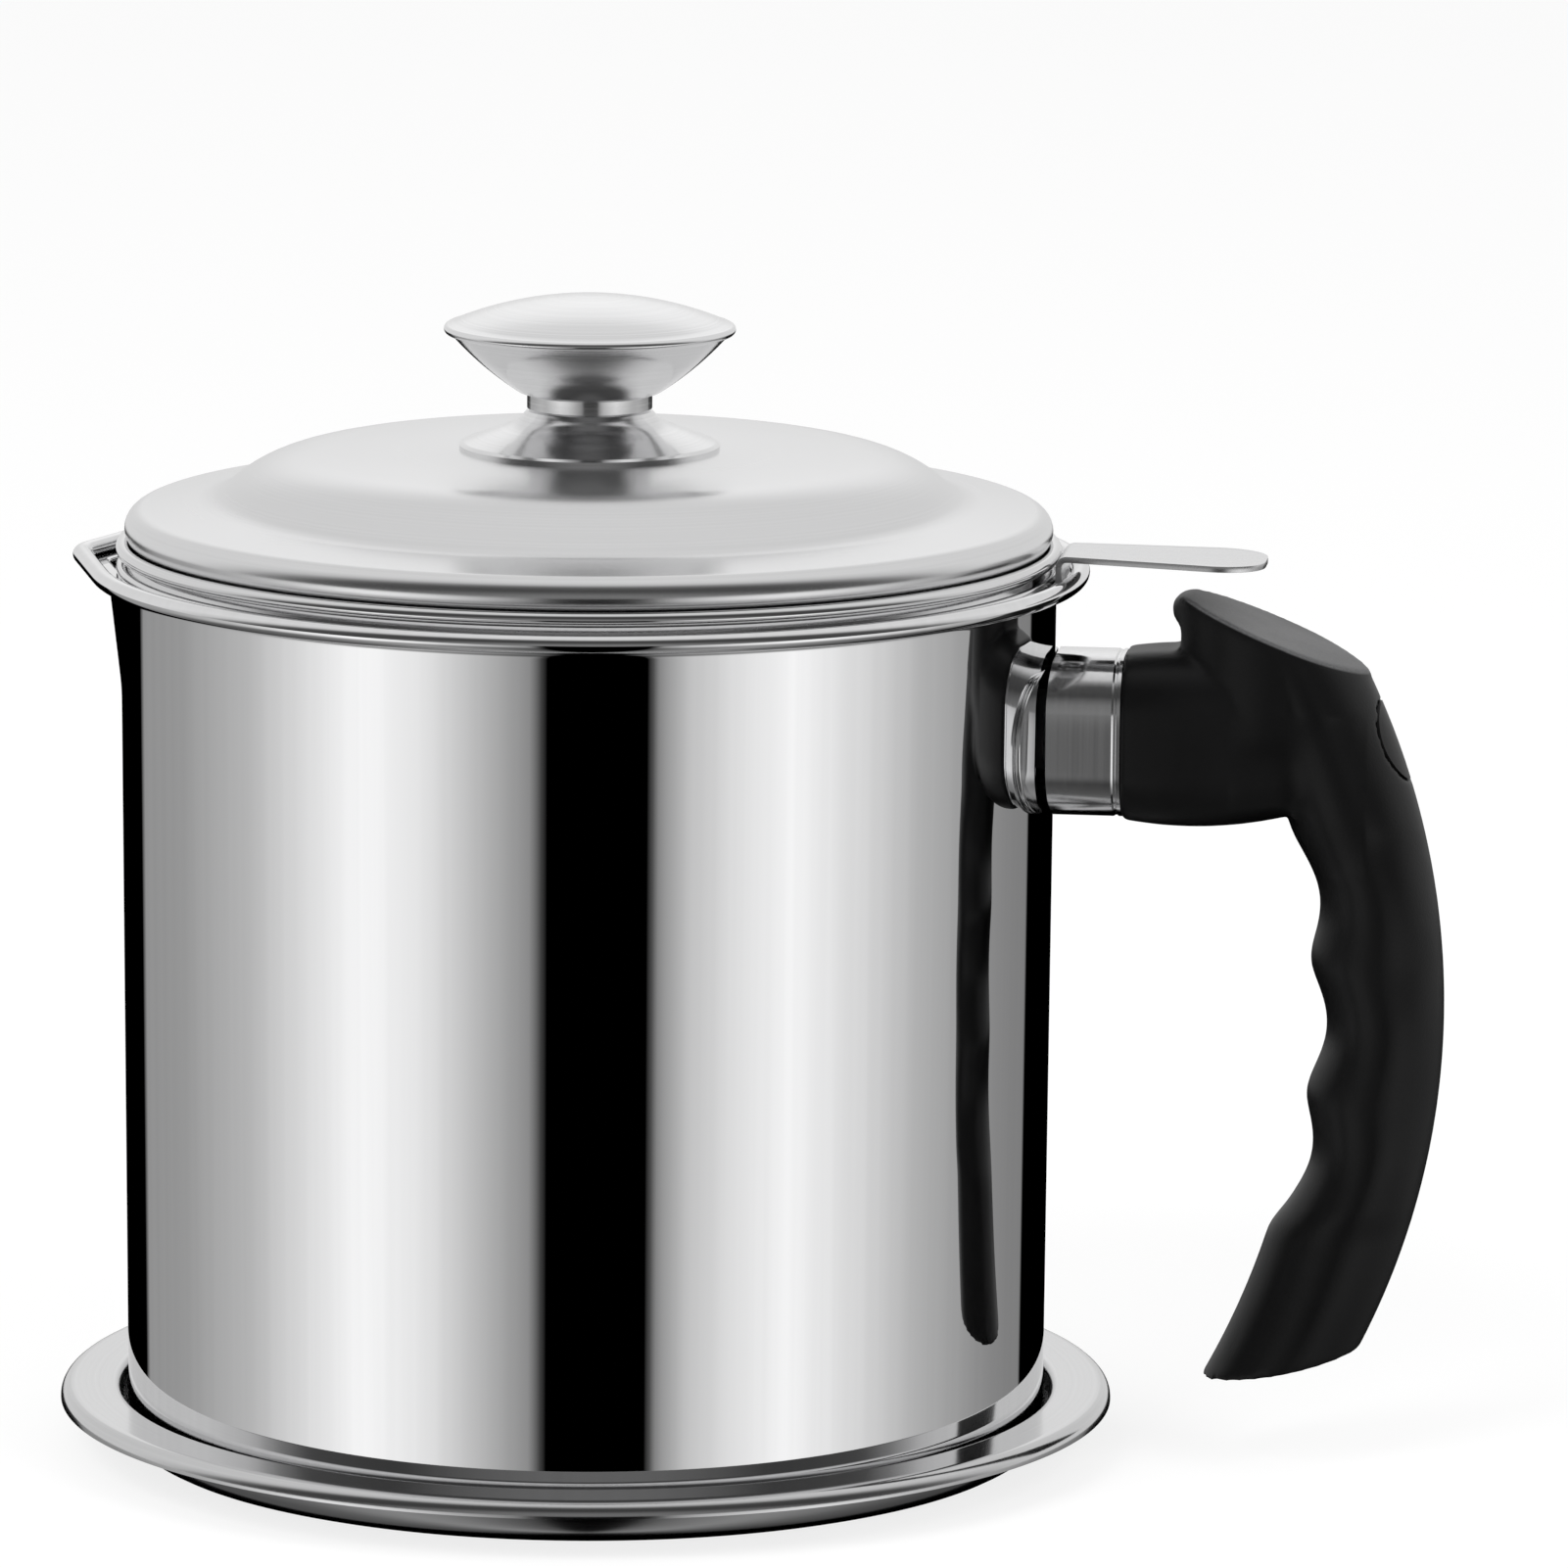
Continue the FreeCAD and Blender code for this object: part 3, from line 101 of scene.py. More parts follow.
class Outline:
    """Section of a sheet or a turned piece, drawn point by point as (radius, height)."""

    def __init__(self, radius: float, height: float) -> None:
        """Start the outline.

        Args:
            radius: distance of the first point from the pot's axis.
            height: height of the first point.
        """
        self.points = [Vector((radius, height))]

    def line(self, radius: float, height: float, pieces: int = 1) -> "Outline":
        """Draw a straight run, with a support point close to each of its ends.

        Args:
            radius: distance of the run's end from the axis.
            height: height of the run's end.
            pieces: into how many spans the run is divided.

        Returns:
            The outline itself, so that calls can be chained.
        """
        start = self.points[-1].copy()
        end = Vector((radius, height))
        length = (end - start).length
        shares = [index / pieces for index in range(1, pieces)]
        if length > 4 * SUPPORT_INSET:
            inset = SUPPORT_INSET / length
            shares = [inset] + shares + [1 - inset]
        self.points += [start.lerp(end, share) for share in shares]
        self.points.append(end)
        return self

    def arc(self, radius: float, height: float, bend: float, turn: Turn) -> "Outline":
        """Draw an arc of less than half a turn.

        Args:
            radius: distance of the arc's end from the axis.
            height: height of the arc's end.
            bend: the arc's own radius.
            turn: the side to which it bends.

        Returns:
            The outline itself, so that calls can be chained.
        """
        start = self.points[-1].copy()
        end = Vector((radius, height))
        chord = end - start
        reach = math.sqrt(max(bend**2 - chord.length_squared / 4, 0))
        across = Vector((-chord.y, chord.x)).normalized()
        centre = (start + end) / 2 + across * turn.value * reach
        sweep = 2 * math.asin(min(chord.length / 2 / bend, 1)) * turn.value
        count = max(3, round(abs(sweep) / ARC_STEP), round(abs(sweep) * bend / ARC_CHORD))
        spoke = start - centre
        for index in range(1, count):
            turned = Matrix.Rotation(sweep * index / count, 2) @ spoke
            self.points.append(centre + turned)
        self.points.append(end)
        return self

    def curl(self, radius: float, height: float, bend: float, turn: Turn, *ends: float) -> "Outline":
        """Draw arcs one after another about one centre.

        Args:
            radius: distance of the centre from the axis.
            height: height of the centre.
            bend: the arcs' own radius.
            turn: the side to which they bend.
            *ends: direction from the centre to the end of each arc.

        Returns:
            The outline itself, so that calls can be chained.
        """
        for end in ends:
            self.arc(*on_circle(radius, height, bend, end), bend, turn)
        return self


def finished(mesh: bmesh.types.BMesh, name: str) -> bpy.types.Object:
    """Turn a bmesh into a smooth-shaded object that keeps its sharp corners.

    Args:
        mesh: the mesh, which is freed.
        name: the object's name.

    Returns:
        The new object, linked to the scene.
    """
    data = bpy.data.meshes.new(name)
    mesh.to_mesh(data)
    mesh.free()
    data.shade_smooth()
    data.set_sharp_from_angle(angle=CREASE)
    piece = bpy.data.objects.new(name, data)
    bpy.context.scene.collection.objects.link(piece)
    return piece


def spun(outline: Outline, closed: bool = True, steps: int = FULL_TURN_STEPS) -> bmesh.types.BMesh:
    """Turn an outline about the pot's axis.

    Args:
        outline: the section.
        closed: whether the section's last point joins its first.
        steps: number of segments round the axis.

    Returns:
        The closed shell, its faces pointing outwards.
    """
    mesh = bmesh.new()
    points = [mesh.verts.new((point.x, 0, point.y)) for point in outline.points]
    edges = [mesh.edges.new(pair) for pair in zip(points, points[1:])]
    if closed:
        edges.append(mesh.edges.new((points[-1], points[0])))
    bmesh.ops.spin(
        mesh, geom=points + edges, cent=(0, 0, 0), axis=UP, angle=math.tau, steps=steps, use_merge=True
    )
    bmesh.ops.remove_doubles(mesh, verts=mesh.verts, dist=MERGE_DISTANCE)
    bmesh.ops.recalc_face_normals(mesh, faces=mesh.faces)
    return mesh


def thicken(piece: bpy.types.Object, sheet: float, offset: int, rounding: float, corner: float) -> None:
    """Give a bent face its thickness and round the edges of the sheet.

    Args:
        piece: the object.
        sheet: the thickness.
        offset: the side to which it grows, or 0 for both.
        rounding: width of the rounding.
        corner: angle from which an edge is rounded.
    """
    thickness = piece.modifiers.new("sheet", "SOLIDIFY")
    thickness.thickness = sheet
    thickness.offset = offset
    edge = piece.modifiers.new("edge", "BEVEL")
    edge.width = rounding
    edge.segments = EDGE_SPANS
    edge.limit_method = "ANGLE"
    edge.angle_limit = corner


def rounded_loop(width: float, height: float, corner: float, corner_steps: int = 10) -> list[Vector]:
    """Points round a rounded rectangle in the YZ plane, anticlockwise from the +Y side.

    Args:
        width: size along Y.
        height: size along Z.
        corner: radius of the corners.
        corner_steps: spans in each corner.

    Returns:
        The points, with X at zero.
    """
    points = []
    for quarter in range(4):
        side = 1 if quarter in (0, 3) else -1
        rise = 1 if quarter in (0, 1) else -1
        centre = Vector((0, side * (width / 2 - corner), rise * (height / 2 - corner)))
        for index in range(corner_steps + 1):
            angle = QUARTER_TURN * (quarter + index / corner_steps)
            points.append(centre + Vector((0, math.cos(angle), math.sin(angle))) * corner)
    return points


# ------------------------------------------------------------------ finishes


class Brushing(Enum):
    """Way in which the polishing marks run: the scale of their noise along each axis."""

    UPRIGHT = (1, 1, 0.004)
    ROUND = (1, 1, 0)
    LENGTHWISE = (0.01, 1, 1)


class Wiring:
    """Node tree, with short ways to add and join its nodes."""

    def __init__(self, tree: bpy.types.NodeTree) -> None:
        """Keep the tree."""
        self.tree = tree

    def add(self, kind: str, **settings: object) -> bpy.types.Node:
        """Add a node and set its properties.

        Args:
            kind: the node's type name.
            **settings: the node's own properties by name.

        Returns:
            The new node.
        """
        node = self.tree.nodes.new(kind)
        for name, setting in settings.items():
            setattr(node, name, setting)
        return node

    def link(self, source: Socket, target: Socket) -> None:
        """Join an output to an input."""
        self.tree.links.new(source, target)

    def shader_mix(self, share: Socket, first: Socket, second: Socket) -> Socket:
        """Mix two shaders.

        Args:
            share: how much of the second one shows.
            first: the one shader.
            second: the other shader.

        Returns:
            The mixed shader.
        """
        mix = self.add("ShaderNodeMixShader")
        for source, target in zip((share, first, second), mix.inputs):
            self.link(source, target)
        return mix.outputs["Shader"]


class Recipe(Wiring):
    """Node tree of one material, with the textures that the finishes share."""

    def __init__(self, name: str) -> None:
        """Start a material with a Principled shader."""
        self.material = bpy.data.materials.new(name)
        self.material.use_nodes = True
        super().__init__(self.material.node_tree)
        self.shader = self.tree.nodes["Principled BSDF"]
        self.place = self.add("ShaderNodeTexCoord").outputs["Object"]

    def show(self, shader: Socket) -> None:
        """Put a shader on the surface in place of the Principled one."""
        self.link(shader, self.tree.nodes["Material Output"].inputs["Surface"])

    def noise(self, place: Socket, scale: float, detail: float) -> Socket:
        """Add a noise texture.

        Args:
            place: the coordinates that it reads.
            scale: its features per metre.
            detail: its octaves.

        Returns:
            The noise's value, from 0 to 1.
        """
        texture = self.add("ShaderNodeTexNoise")
        texture.inputs["Scale"].default_value = scale
        texture.inputs["Detail"].default_value = detail
        self.link(place, texture.inputs["Vector"])
        return texture.outputs["Fac"]

    def ranged(
        self, source: Socket, start: float, end: float, low: float = 0, high: float = 1, soft: bool = False
    ) -> Socket:
        """Map one range of values to another.

        Args:
            source: the value.
            start: the value that becomes low.
            end: the value that becomes high.
            low: the result at the start.
            high: the result at the end.
            soft: whether the change eases in and out.

        Returns:
            The mapped value.
        """
        mapped = self.add("ShaderNodeMapRange", interpolation_type="SMOOTHSTEP" if soft else "LINEAR")
        for name, value in zip(("From Min", "From Max", "To Min", "To Max"), (start, end, low, high)):
            mapped.inputs[name].default_value = value
        self.link(source, mapped.inputs["Value"])
        return mapped.outputs["Result"]

    def spread(self, source: Socket, low: float, high: float) -> Socket:
        """Map the middle of a noise's values to a range, low where it is dark."""
        return self.ranged(source, NOISE_DARK, NOISE_LIGHT, low, high)

    def tint(self, source: Socket, colour: Colour, depth: float) -> None:
        """Vary the shader's base colour with a noise.

        Args:
            source: the noise.
            colour: the lightest colour.
            depth: how much darker it gets, as a share.
        """
        mix = self.add("ShaderNodeMix", data_type="RGBA")
        mix.inputs["A"].default_value = (*[part * (1 - depth) for part in colour], 1)
        mix.inputs["B"].default_value = (*colour, 1)
        self.link(self.spread(source, 0, 1), mix.inputs["Factor"])
        self.link(mix.outputs["Result"], self.shader.inputs["Base Color"])

    def emboss(self, source: Socket, strength: float, depth: float) -> None:
        """Raise the surface with a noise.

        Args:
            source: the noise.
            strength: share of the effect.
            depth: height of the relief.
        """
        bump = self.add("ShaderNodeBump")
        bump.inputs["Strength"].default_value = strength
        bump.inputs["Distance"].default_value = depth
        self.link(source, bump.inputs["Height"])
        self.link(bump.outputs["Normal"], self.shader.inputs["Normal"])


@dataclass(frozen=True)
class Steel:
    """Stainless steel with polishing marks that run one way, and a faint cloudiness."""

    name: str
    colour: Colour
    roughness: float
    roughness_spread: float
    brushing: Brushing
    marks_per_metre: float
    mark_depth: float
    shade_depth: float
    mark_detail: float = 5
    clouds_per_metre: float = 38
    cloud_detail: float = 3

    def stretched(self, recipe: Recipe) -> Socket:
        """Coordinates in which the marks' own direction is drawn out.

        Args:
            recipe: the material that is being made.

        Returns:
            The coordinates.
        """
        if self.brushing is Brushing.ROUND:
            flat = recipe.add("ShaderNodeVectorMath", operation="MULTIPLY")
            flat.inputs[1].default_value = self.brushing.value
            recipe.link(recipe.place, flat.inputs[0])
            reach = recipe.add("ShaderNodeVectorMath", operation="LENGTH")
            recipe.link(flat.outputs["Vector"], reach.inputs[0])
            apart = recipe.add("ShaderNodeSeparateXYZ")
            recipe.link(recipe.place, apart.inputs["Vector"])
            joined = recipe.add("ShaderNodeCombineXYZ")
            recipe.link(reach.outputs["Value"], joined.inputs["X"])
            recipe.link(apart.outputs["Z"], joined.inputs["Y"])
            return joined.outputs["Vector"]
        mapping = recipe.add("ShaderNodeMapping")
        mapping.inputs["Scale"].default_value = self.brushing.value
        recipe.link(recipe.place, mapping.inputs["Vector"])
        return mapping.outputs["Vector"]

    def material(self) -> bpy.types.Material:
        """Make the material.

        Returns:
            The material, its noises in object coordinates.
        """
        recipe = Recipe(self.name)
        marks = recipe.noise(self.stretched(recipe), self.marks_per_metre, self.mark_detail)
        clouds = recipe.noise(recipe.place, self.clouds_per_metre, self.cloud_detail)
        recipe.shader.inputs["Metallic"].default_value = 1
        recipe.tint(marks, self.colour, self.shade_depth)
        both = recipe.add("ShaderNodeMath", operation="ADD")
        half = self.roughness_spread / 2
        recipe.link(recipe.spread(marks, self.roughness - half, self.roughness + half), both.inputs[0])
        recipe.link(recipe.spread(clouds, 0, half), both.inputs[1])
        recipe.link(both.outputs["Value"], recipe.shader.inputs["Roughness"])
        recipe.emboss(marks, 1, self.mark_depth)
        return recipe.material


@dataclass(frozen=True)
class MouldedPlastic:
    """Matte plastic with a fine moulded grain, faint rubbing and a greyer, rougher thumb face."""

    name: str
    colour: Colour
    roughness: float
    gloss: float
    grain_depth: float
    face_colour: Colour
    face_angle: float
    face_level: float
    face_depth: float = 0.0003
    face_shade: float = 0.7
    grain_per_metre: float = 2600
    grain_detail: float = 2
    grain_strength: float = 0.6
    rubbing_per_metre: float = 60
    rubbing_detail: float = 4
    rubbing_shade: float = 0.3
    smoother: float = 0.04
    rougher: float = 0.05

    def thumb_face(self, recipe: Recipe) -> Socket:
        """Find the flat thumb face.

        Args:
            recipe: the material that is being made.

        Returns:
            1 on the face and 0 elsewhere.
        """
        aim = Vector((math.sin(self.face_angle), 0, math.cos(self.face_angle)))
        along = recipe.add("ShaderNodeVectorMath", operation="DOT_PRODUCT")
        along.inputs[1].default_value = aim
        recipe.link(recipe.place, along.inputs[0])
        return recipe.ranged(
            along.outputs["Value"],
            self.face_level - 2 * self.face_depth,
            self.face_level - self.face_depth,
            soft=True,
        )

    def material(self) -> bpy.types.Material:
        """Make the material.

        Returns:
            The material, its noises in object coordinates.
        """
        recipe = Recipe(self.name)
        grain = recipe.noise(recipe.place, self.grain_per_metre, self.grain_detail)
        rubbing = recipe.noise(recipe.place, self.rubbing_per_metre, self.rubbing_detail)
        recipe.tint(rubbing, self.colour, self.rubbing_shade)
        sides = recipe.shader.inputs["Base Color"].links[0].from_socket
        face = self.thumb_face(recipe)
        speckle = recipe.add("ShaderNodeMix", data_type="RGBA")
        speckle.inputs["A"].default_value = (*[part * self.face_shade for part in self.face_colour], 1)
        speckle.inputs["B"].default_value = (*self.face_colour, 1)
        recipe.link(recipe.spread(grain, 0, 1), speckle.inputs["Factor"])
        both = recipe.add("ShaderNodeMix", data_type="RGBA")
        recipe.link(face, both.inputs["Factor"])
        recipe.link(sides, both.inputs["A"])
        recipe.link(speckle.outputs["Result"], both.inputs["B"])
        recipe.link(both.outputs["Result"], recipe.shader.inputs["Base Color"])
        recipe.link(
            recipe.spread(rubbing, self.roughness - self.smoother, self.roughness + self.rougher),
            recipe.shader.inputs["Roughness"],
        )
        recipe.shader.inputs["Specular IOR Level"].default_value = self.gloss
        recipe.emboss(grain, self.grain_strength, self.grain_depth)
        return recipe.material


Finish = Steel | MouldedPlastic

MIRROR_STEEL = Steel(
    "mirror_polish", (0.83, 0.83, 0.835), 0.012, 0.01, Brushing.UPRIGHT, 420, 0.0000001, 0.05
)
LID_STEEL = Steel("lid_satin", (0.80, 0.80, 0.805), 0.23, 0.05, Brushing.ROUND, 2400, 0.0000008, 0.05)
TRAY_STEEL = Steel("tray_satin", (0.68, 0.68, 0.685), 0.14, 0.05, Brushing.ROUND, 2000, 0.0000003, 0.08)
KNOB_STEEL = Steel("knob_polish", (0.86, 0.86, 0.865), 0.13, 0.05, Brushing.ROUND, 2600, 0.000001, 0.08)
STRAINER_STEEL = Steel(
    "strainer_satin", (0.78, 0.78, 0.785), 0.08, 0.04, Brushing.ROUND, 2200, 0.0000004, 0.06
)
TAB_STEEL = Steel("tab_satin", (0.76, 0.76, 0.765), 0.26, 0.08, Brushing.LENGTHWISE, 1800, 0.000003, 0.08)
FERRULE_STEEL = Steel(
    "ferrule_polish", (0.80, 0.80, 0.805), 0.12, 0.05, Brushing.UPRIGHT, 1500, 0.0000012, 0.08
)
FASTENER_STEEL = Steel(
    "fastener_plain", (0.66, 0.66, 0.67), 0.32, 0.1, Brushing.ROUND, 2400, 0.000003, 0.12
)


def dress(piece: bpy.types.Object, finish: Finish) -> None:
    """Give a piece its finish, sharing one material among all pieces of that finish.

    Args:
        piece: the object.
        finish: its finish.
    """
    material = bpy.data.materials.get(finish.name) or finish.material()
    piece.data.materials.clear()
    piece.data.materials.append(material)


def seat(piece: bpy.types.Object, body: str, nodes: list[str], finish: Finish) -> None:
    """Put a modelled piece in the place of its CAD nodes.

    Args:
        piece: the object, already in place.
        body: the CAD body that it moves with.
        nodes: the CAD nodes that it stands for.
        finish: its finish.
    """
    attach(piece, body)
    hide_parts(*nodes)
    dress(piece, finish)
    log.info("%s rides on %s", piece.name, body)


# ------------------------------------------------------------------ tray


@dataclass
class Tray:
    """Loose drip tray: a pan with a wide flange whose edge is rolled down."""

    sheet: float = 0.0007
    flange_width: float = 0.0091
    corner: float = 0.005
    lip: float = 0.0012
    roll: float = 0.0021
    edge_drop: float = 0.0003

    def build(self) -> None:
        """Model the tray as one pressed sheet."""
        _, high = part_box("tray")
        edge = high.x
        top = high.z
        wall = edge - self.flange_width
        sheet = self.sheet
        bottom = top - self.roll - self.edge_drop
        outline = Outline(0, sheet)
        outline.line(0, 0)
        outline.line(wall - self.corner, 0, pieces=FLOOR_SPANS)
        outline.arc(wall + sheet, self.corner + sheet, self.corner + sheet, Turn.LEFT)
        outline.line(wall + sheet, top - self.lip)
        outline.arc(wall + self.lip, top - sheet, self.lip - sheet, Turn.RIGHT)
        outline.line(edge - self.roll, top - sheet)
        outline.arc(edge - sheet, top - self.roll, self.roll - sheet, Turn.RIGHT)
        outline.line(edge - sheet, bottom)
        outline.line(edge, bottom)
        outline.line(edge, top - self.roll)
        outline.arc(edge - self.roll, top, self.roll, Turn.LEFT)
        outline.line(wall + self.lip, top)
        outline.arc(wall, top - self.lip, self.lip, Turn.LEFT)
        outline.line(wall, self.corner + sheet)
        outline.arc(wall - self.corner, sheet, self.corner, Turn.RIGHT)
        outline.line(0, sheet, pieces=FLOOR_SPANS)
        seat(finished(spun(outline, closed=False), "drip_tray"), "tray", ["tray"], TRAY_STEEL)


# ------------------------------------------------------------------ pot


@dataclass
class Pot:
    """Drawn pot with a ledge, a curled rim bead and a pouring spout, all one sheet."""

    sheet: float = 0.0006
    foot_radius: float = 0.0697
    ledge_width: float = 0.0036
    corner: float = 0.0044
    foot_ring: float = 0.0033
    floor_rise: float = 0.0008
    floor_step: float = 0.002
    ledge_bend: float = 0.0012
    mouth_round: float = 0.0006
    bead: float = 0.0014
    curl_end: float = math.radians(200)
    spout_tip: float = 0.008
    spout_depth: float = 0.0294
    spout_angle: float = math.radians(18)
    spout_start_angle: float = math.radians(2)
    spout_flare: float = 0.55
    crowding: float = 0.72
    steps: int = 360
    wall_spans: int = 24
    spout_spans: int = 40

    def measure(self) -> None:
        """Take the heights and the rim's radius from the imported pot."""
        low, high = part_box("pot_body")
        self.foot = low.z
        self.rim = high.y - self.bead
        self.bead_height = high.z - self.bead
        self.ledge_under = self.bead_height - self.bead
        self.ledge_top = self.ledge_under + self.sheet
        self.mouth = self.rim - self.ledge_width
        self.spout_start = self.ledge_top - self.spout_depth

    def section(self) -> Outline:
        """Section of the whole pot, from the middle of its underside round to the floor inside.

        Returns:
            The outline, both of its ends on the axis.
        """
        sheet = self.sheet
        ring_out = self.foot_radius - self.corner
        ring_in = ring_out - self.foot_ring
        step = ring_in - self.floor_step
        hollow = self.bead - sheet
        inside = self.mouth - sheet
        rim = self.rim
        centre = self.bead_height
        bend_low = self.ledge_under - self.ledge_bend
        outline = Outline(0, self.foot + self.floor_rise)
        outline.line(step, self.foot + self.floor_rise, pieces=FLOOR_SPANS)
        outline.line(ring_in, self.foot)
        outline.line(ring_out, self.foot)
        outline.arc(self.foot_radius, self.foot + self.corner, self.corner, Turn.LEFT)
        outline.line(*self.on_wall(self.spout_start), pieces=self.wall_spans)
        outline.line(self.mouth, bend_low, pieces=self.spout_spans)
        outline.arc(self.mouth + self.ledge_bend, self.ledge_under, self.ledge_bend, Turn.RIGHT)
        outline.line(rim, self.ledge_under)
        outline.curl(rim, centre, self.bead, Turn.LEFT, 0, QUARTER_TURN, HALF_TURN, self.curl_end)
        outline.line(*on_circle(rim, centre, hollow, self.curl_end))
        outline.curl(rim, centre, hollow, Turn.RIGHT, HALF_TURN, QUARTER_TURN, 0, -QUARTER_TURN)
        outline.line(inside + self.mouth_round, self.ledge_top)
        outline.arc(inside, self.ledge_top - self.mouth_round, self.mouth_round, Turn.LEFT)
        outline.line(inside, bend_low)
        start, height = self.on_wall(self.spout_start)
        outline.line(start - sheet, height, pieces=self.spout_spans)
        outline.line(self.foot_radius - sheet, self.foot + self.corner, pieces=self.wall_spans)
        outline.arc(ring_out, self.foot + sheet, self.corner - sheet, Turn.RIGHT)
        outline.line(ring_in, self.foot + sheet)
        outline.line(step, self.foot + self.floor_rise + sheet)
        outline.line(0, self.foot + self.floor_rise + sheet, pieces=FLOOR_SPANS)
        return outline

    def on_wall(self, height: float) -> tuple[float, float]:
        """Point on the outside of the slightly tapered wall.

        Args:
            height: the point's height.

        Returns:
            Its distance from the axis, and its height.
        """
        low = self.foot + self.corner
        share = (height - low) / (self.ledge_under - self.ledge_bend - low)
        return self.foot_radius + (self.mouth - self.foot_radius) * share, height

    def reach(self, radius: float, height: float, away: float) -> float:
        """Distance from the axis to the sheet where the spout draws it out.

        The plan of the spout is a circle that runs out along two tangents to a small round tip.

        Args:
            radius: distance from the axis where there is no spout.
            height: height of the point.
            away: angle between the point and the middle of the spout.

        Returns:
            The distance.
        """
        share = min((height - self.spout_start) / self.spout_depth, 1)
        if share <= 0:
            return radius
        spread = self.spout_angle - self.spout_start_angle
        lean = self.spout_start_angle + spread * share**self.spout_flare
        if away >= lean:
            return radius
        tip = radius - self.rim + self.spout_tip
        centre = (radius - tip) / math.cos(lean)
        tip_end = math.atan2(tip * math.sin(lean), centre + tip * math.cos(lean))
        if away > tip_end:
            return radius / math.cos(lean - away)
        return centre * math.cos(away) + math.sqrt(tip**2 - (centre * math.sin(away)) ** 2)

    def build(self) -> None:
        """Spin the section, crowd the segments towards the spout and draw the spout out."""
        self.measure()
        mesh = spun(self.section(), closed=False, steps=self.steps)
        for vert in mesh.verts:
            radius = vert.co.xy.length
            if radius < self.sheet:
                continue
            angle = math.atan2(vert.co.y, vert.co.x)
            angle += self.crowding * math.sin(angle)
            reach = self.reach(radius, vert.co.z, HALF_TURN - abs(angle))
            vert.co = Vector((reach * math.cos(angle), reach * math.sin(angle), vert.co.z))
        seat(finished(mesh, "pot_shell"), "pot", ["pot_body"], MIRROR_STEEL)


# ------------------------------------------------------------------ strainer


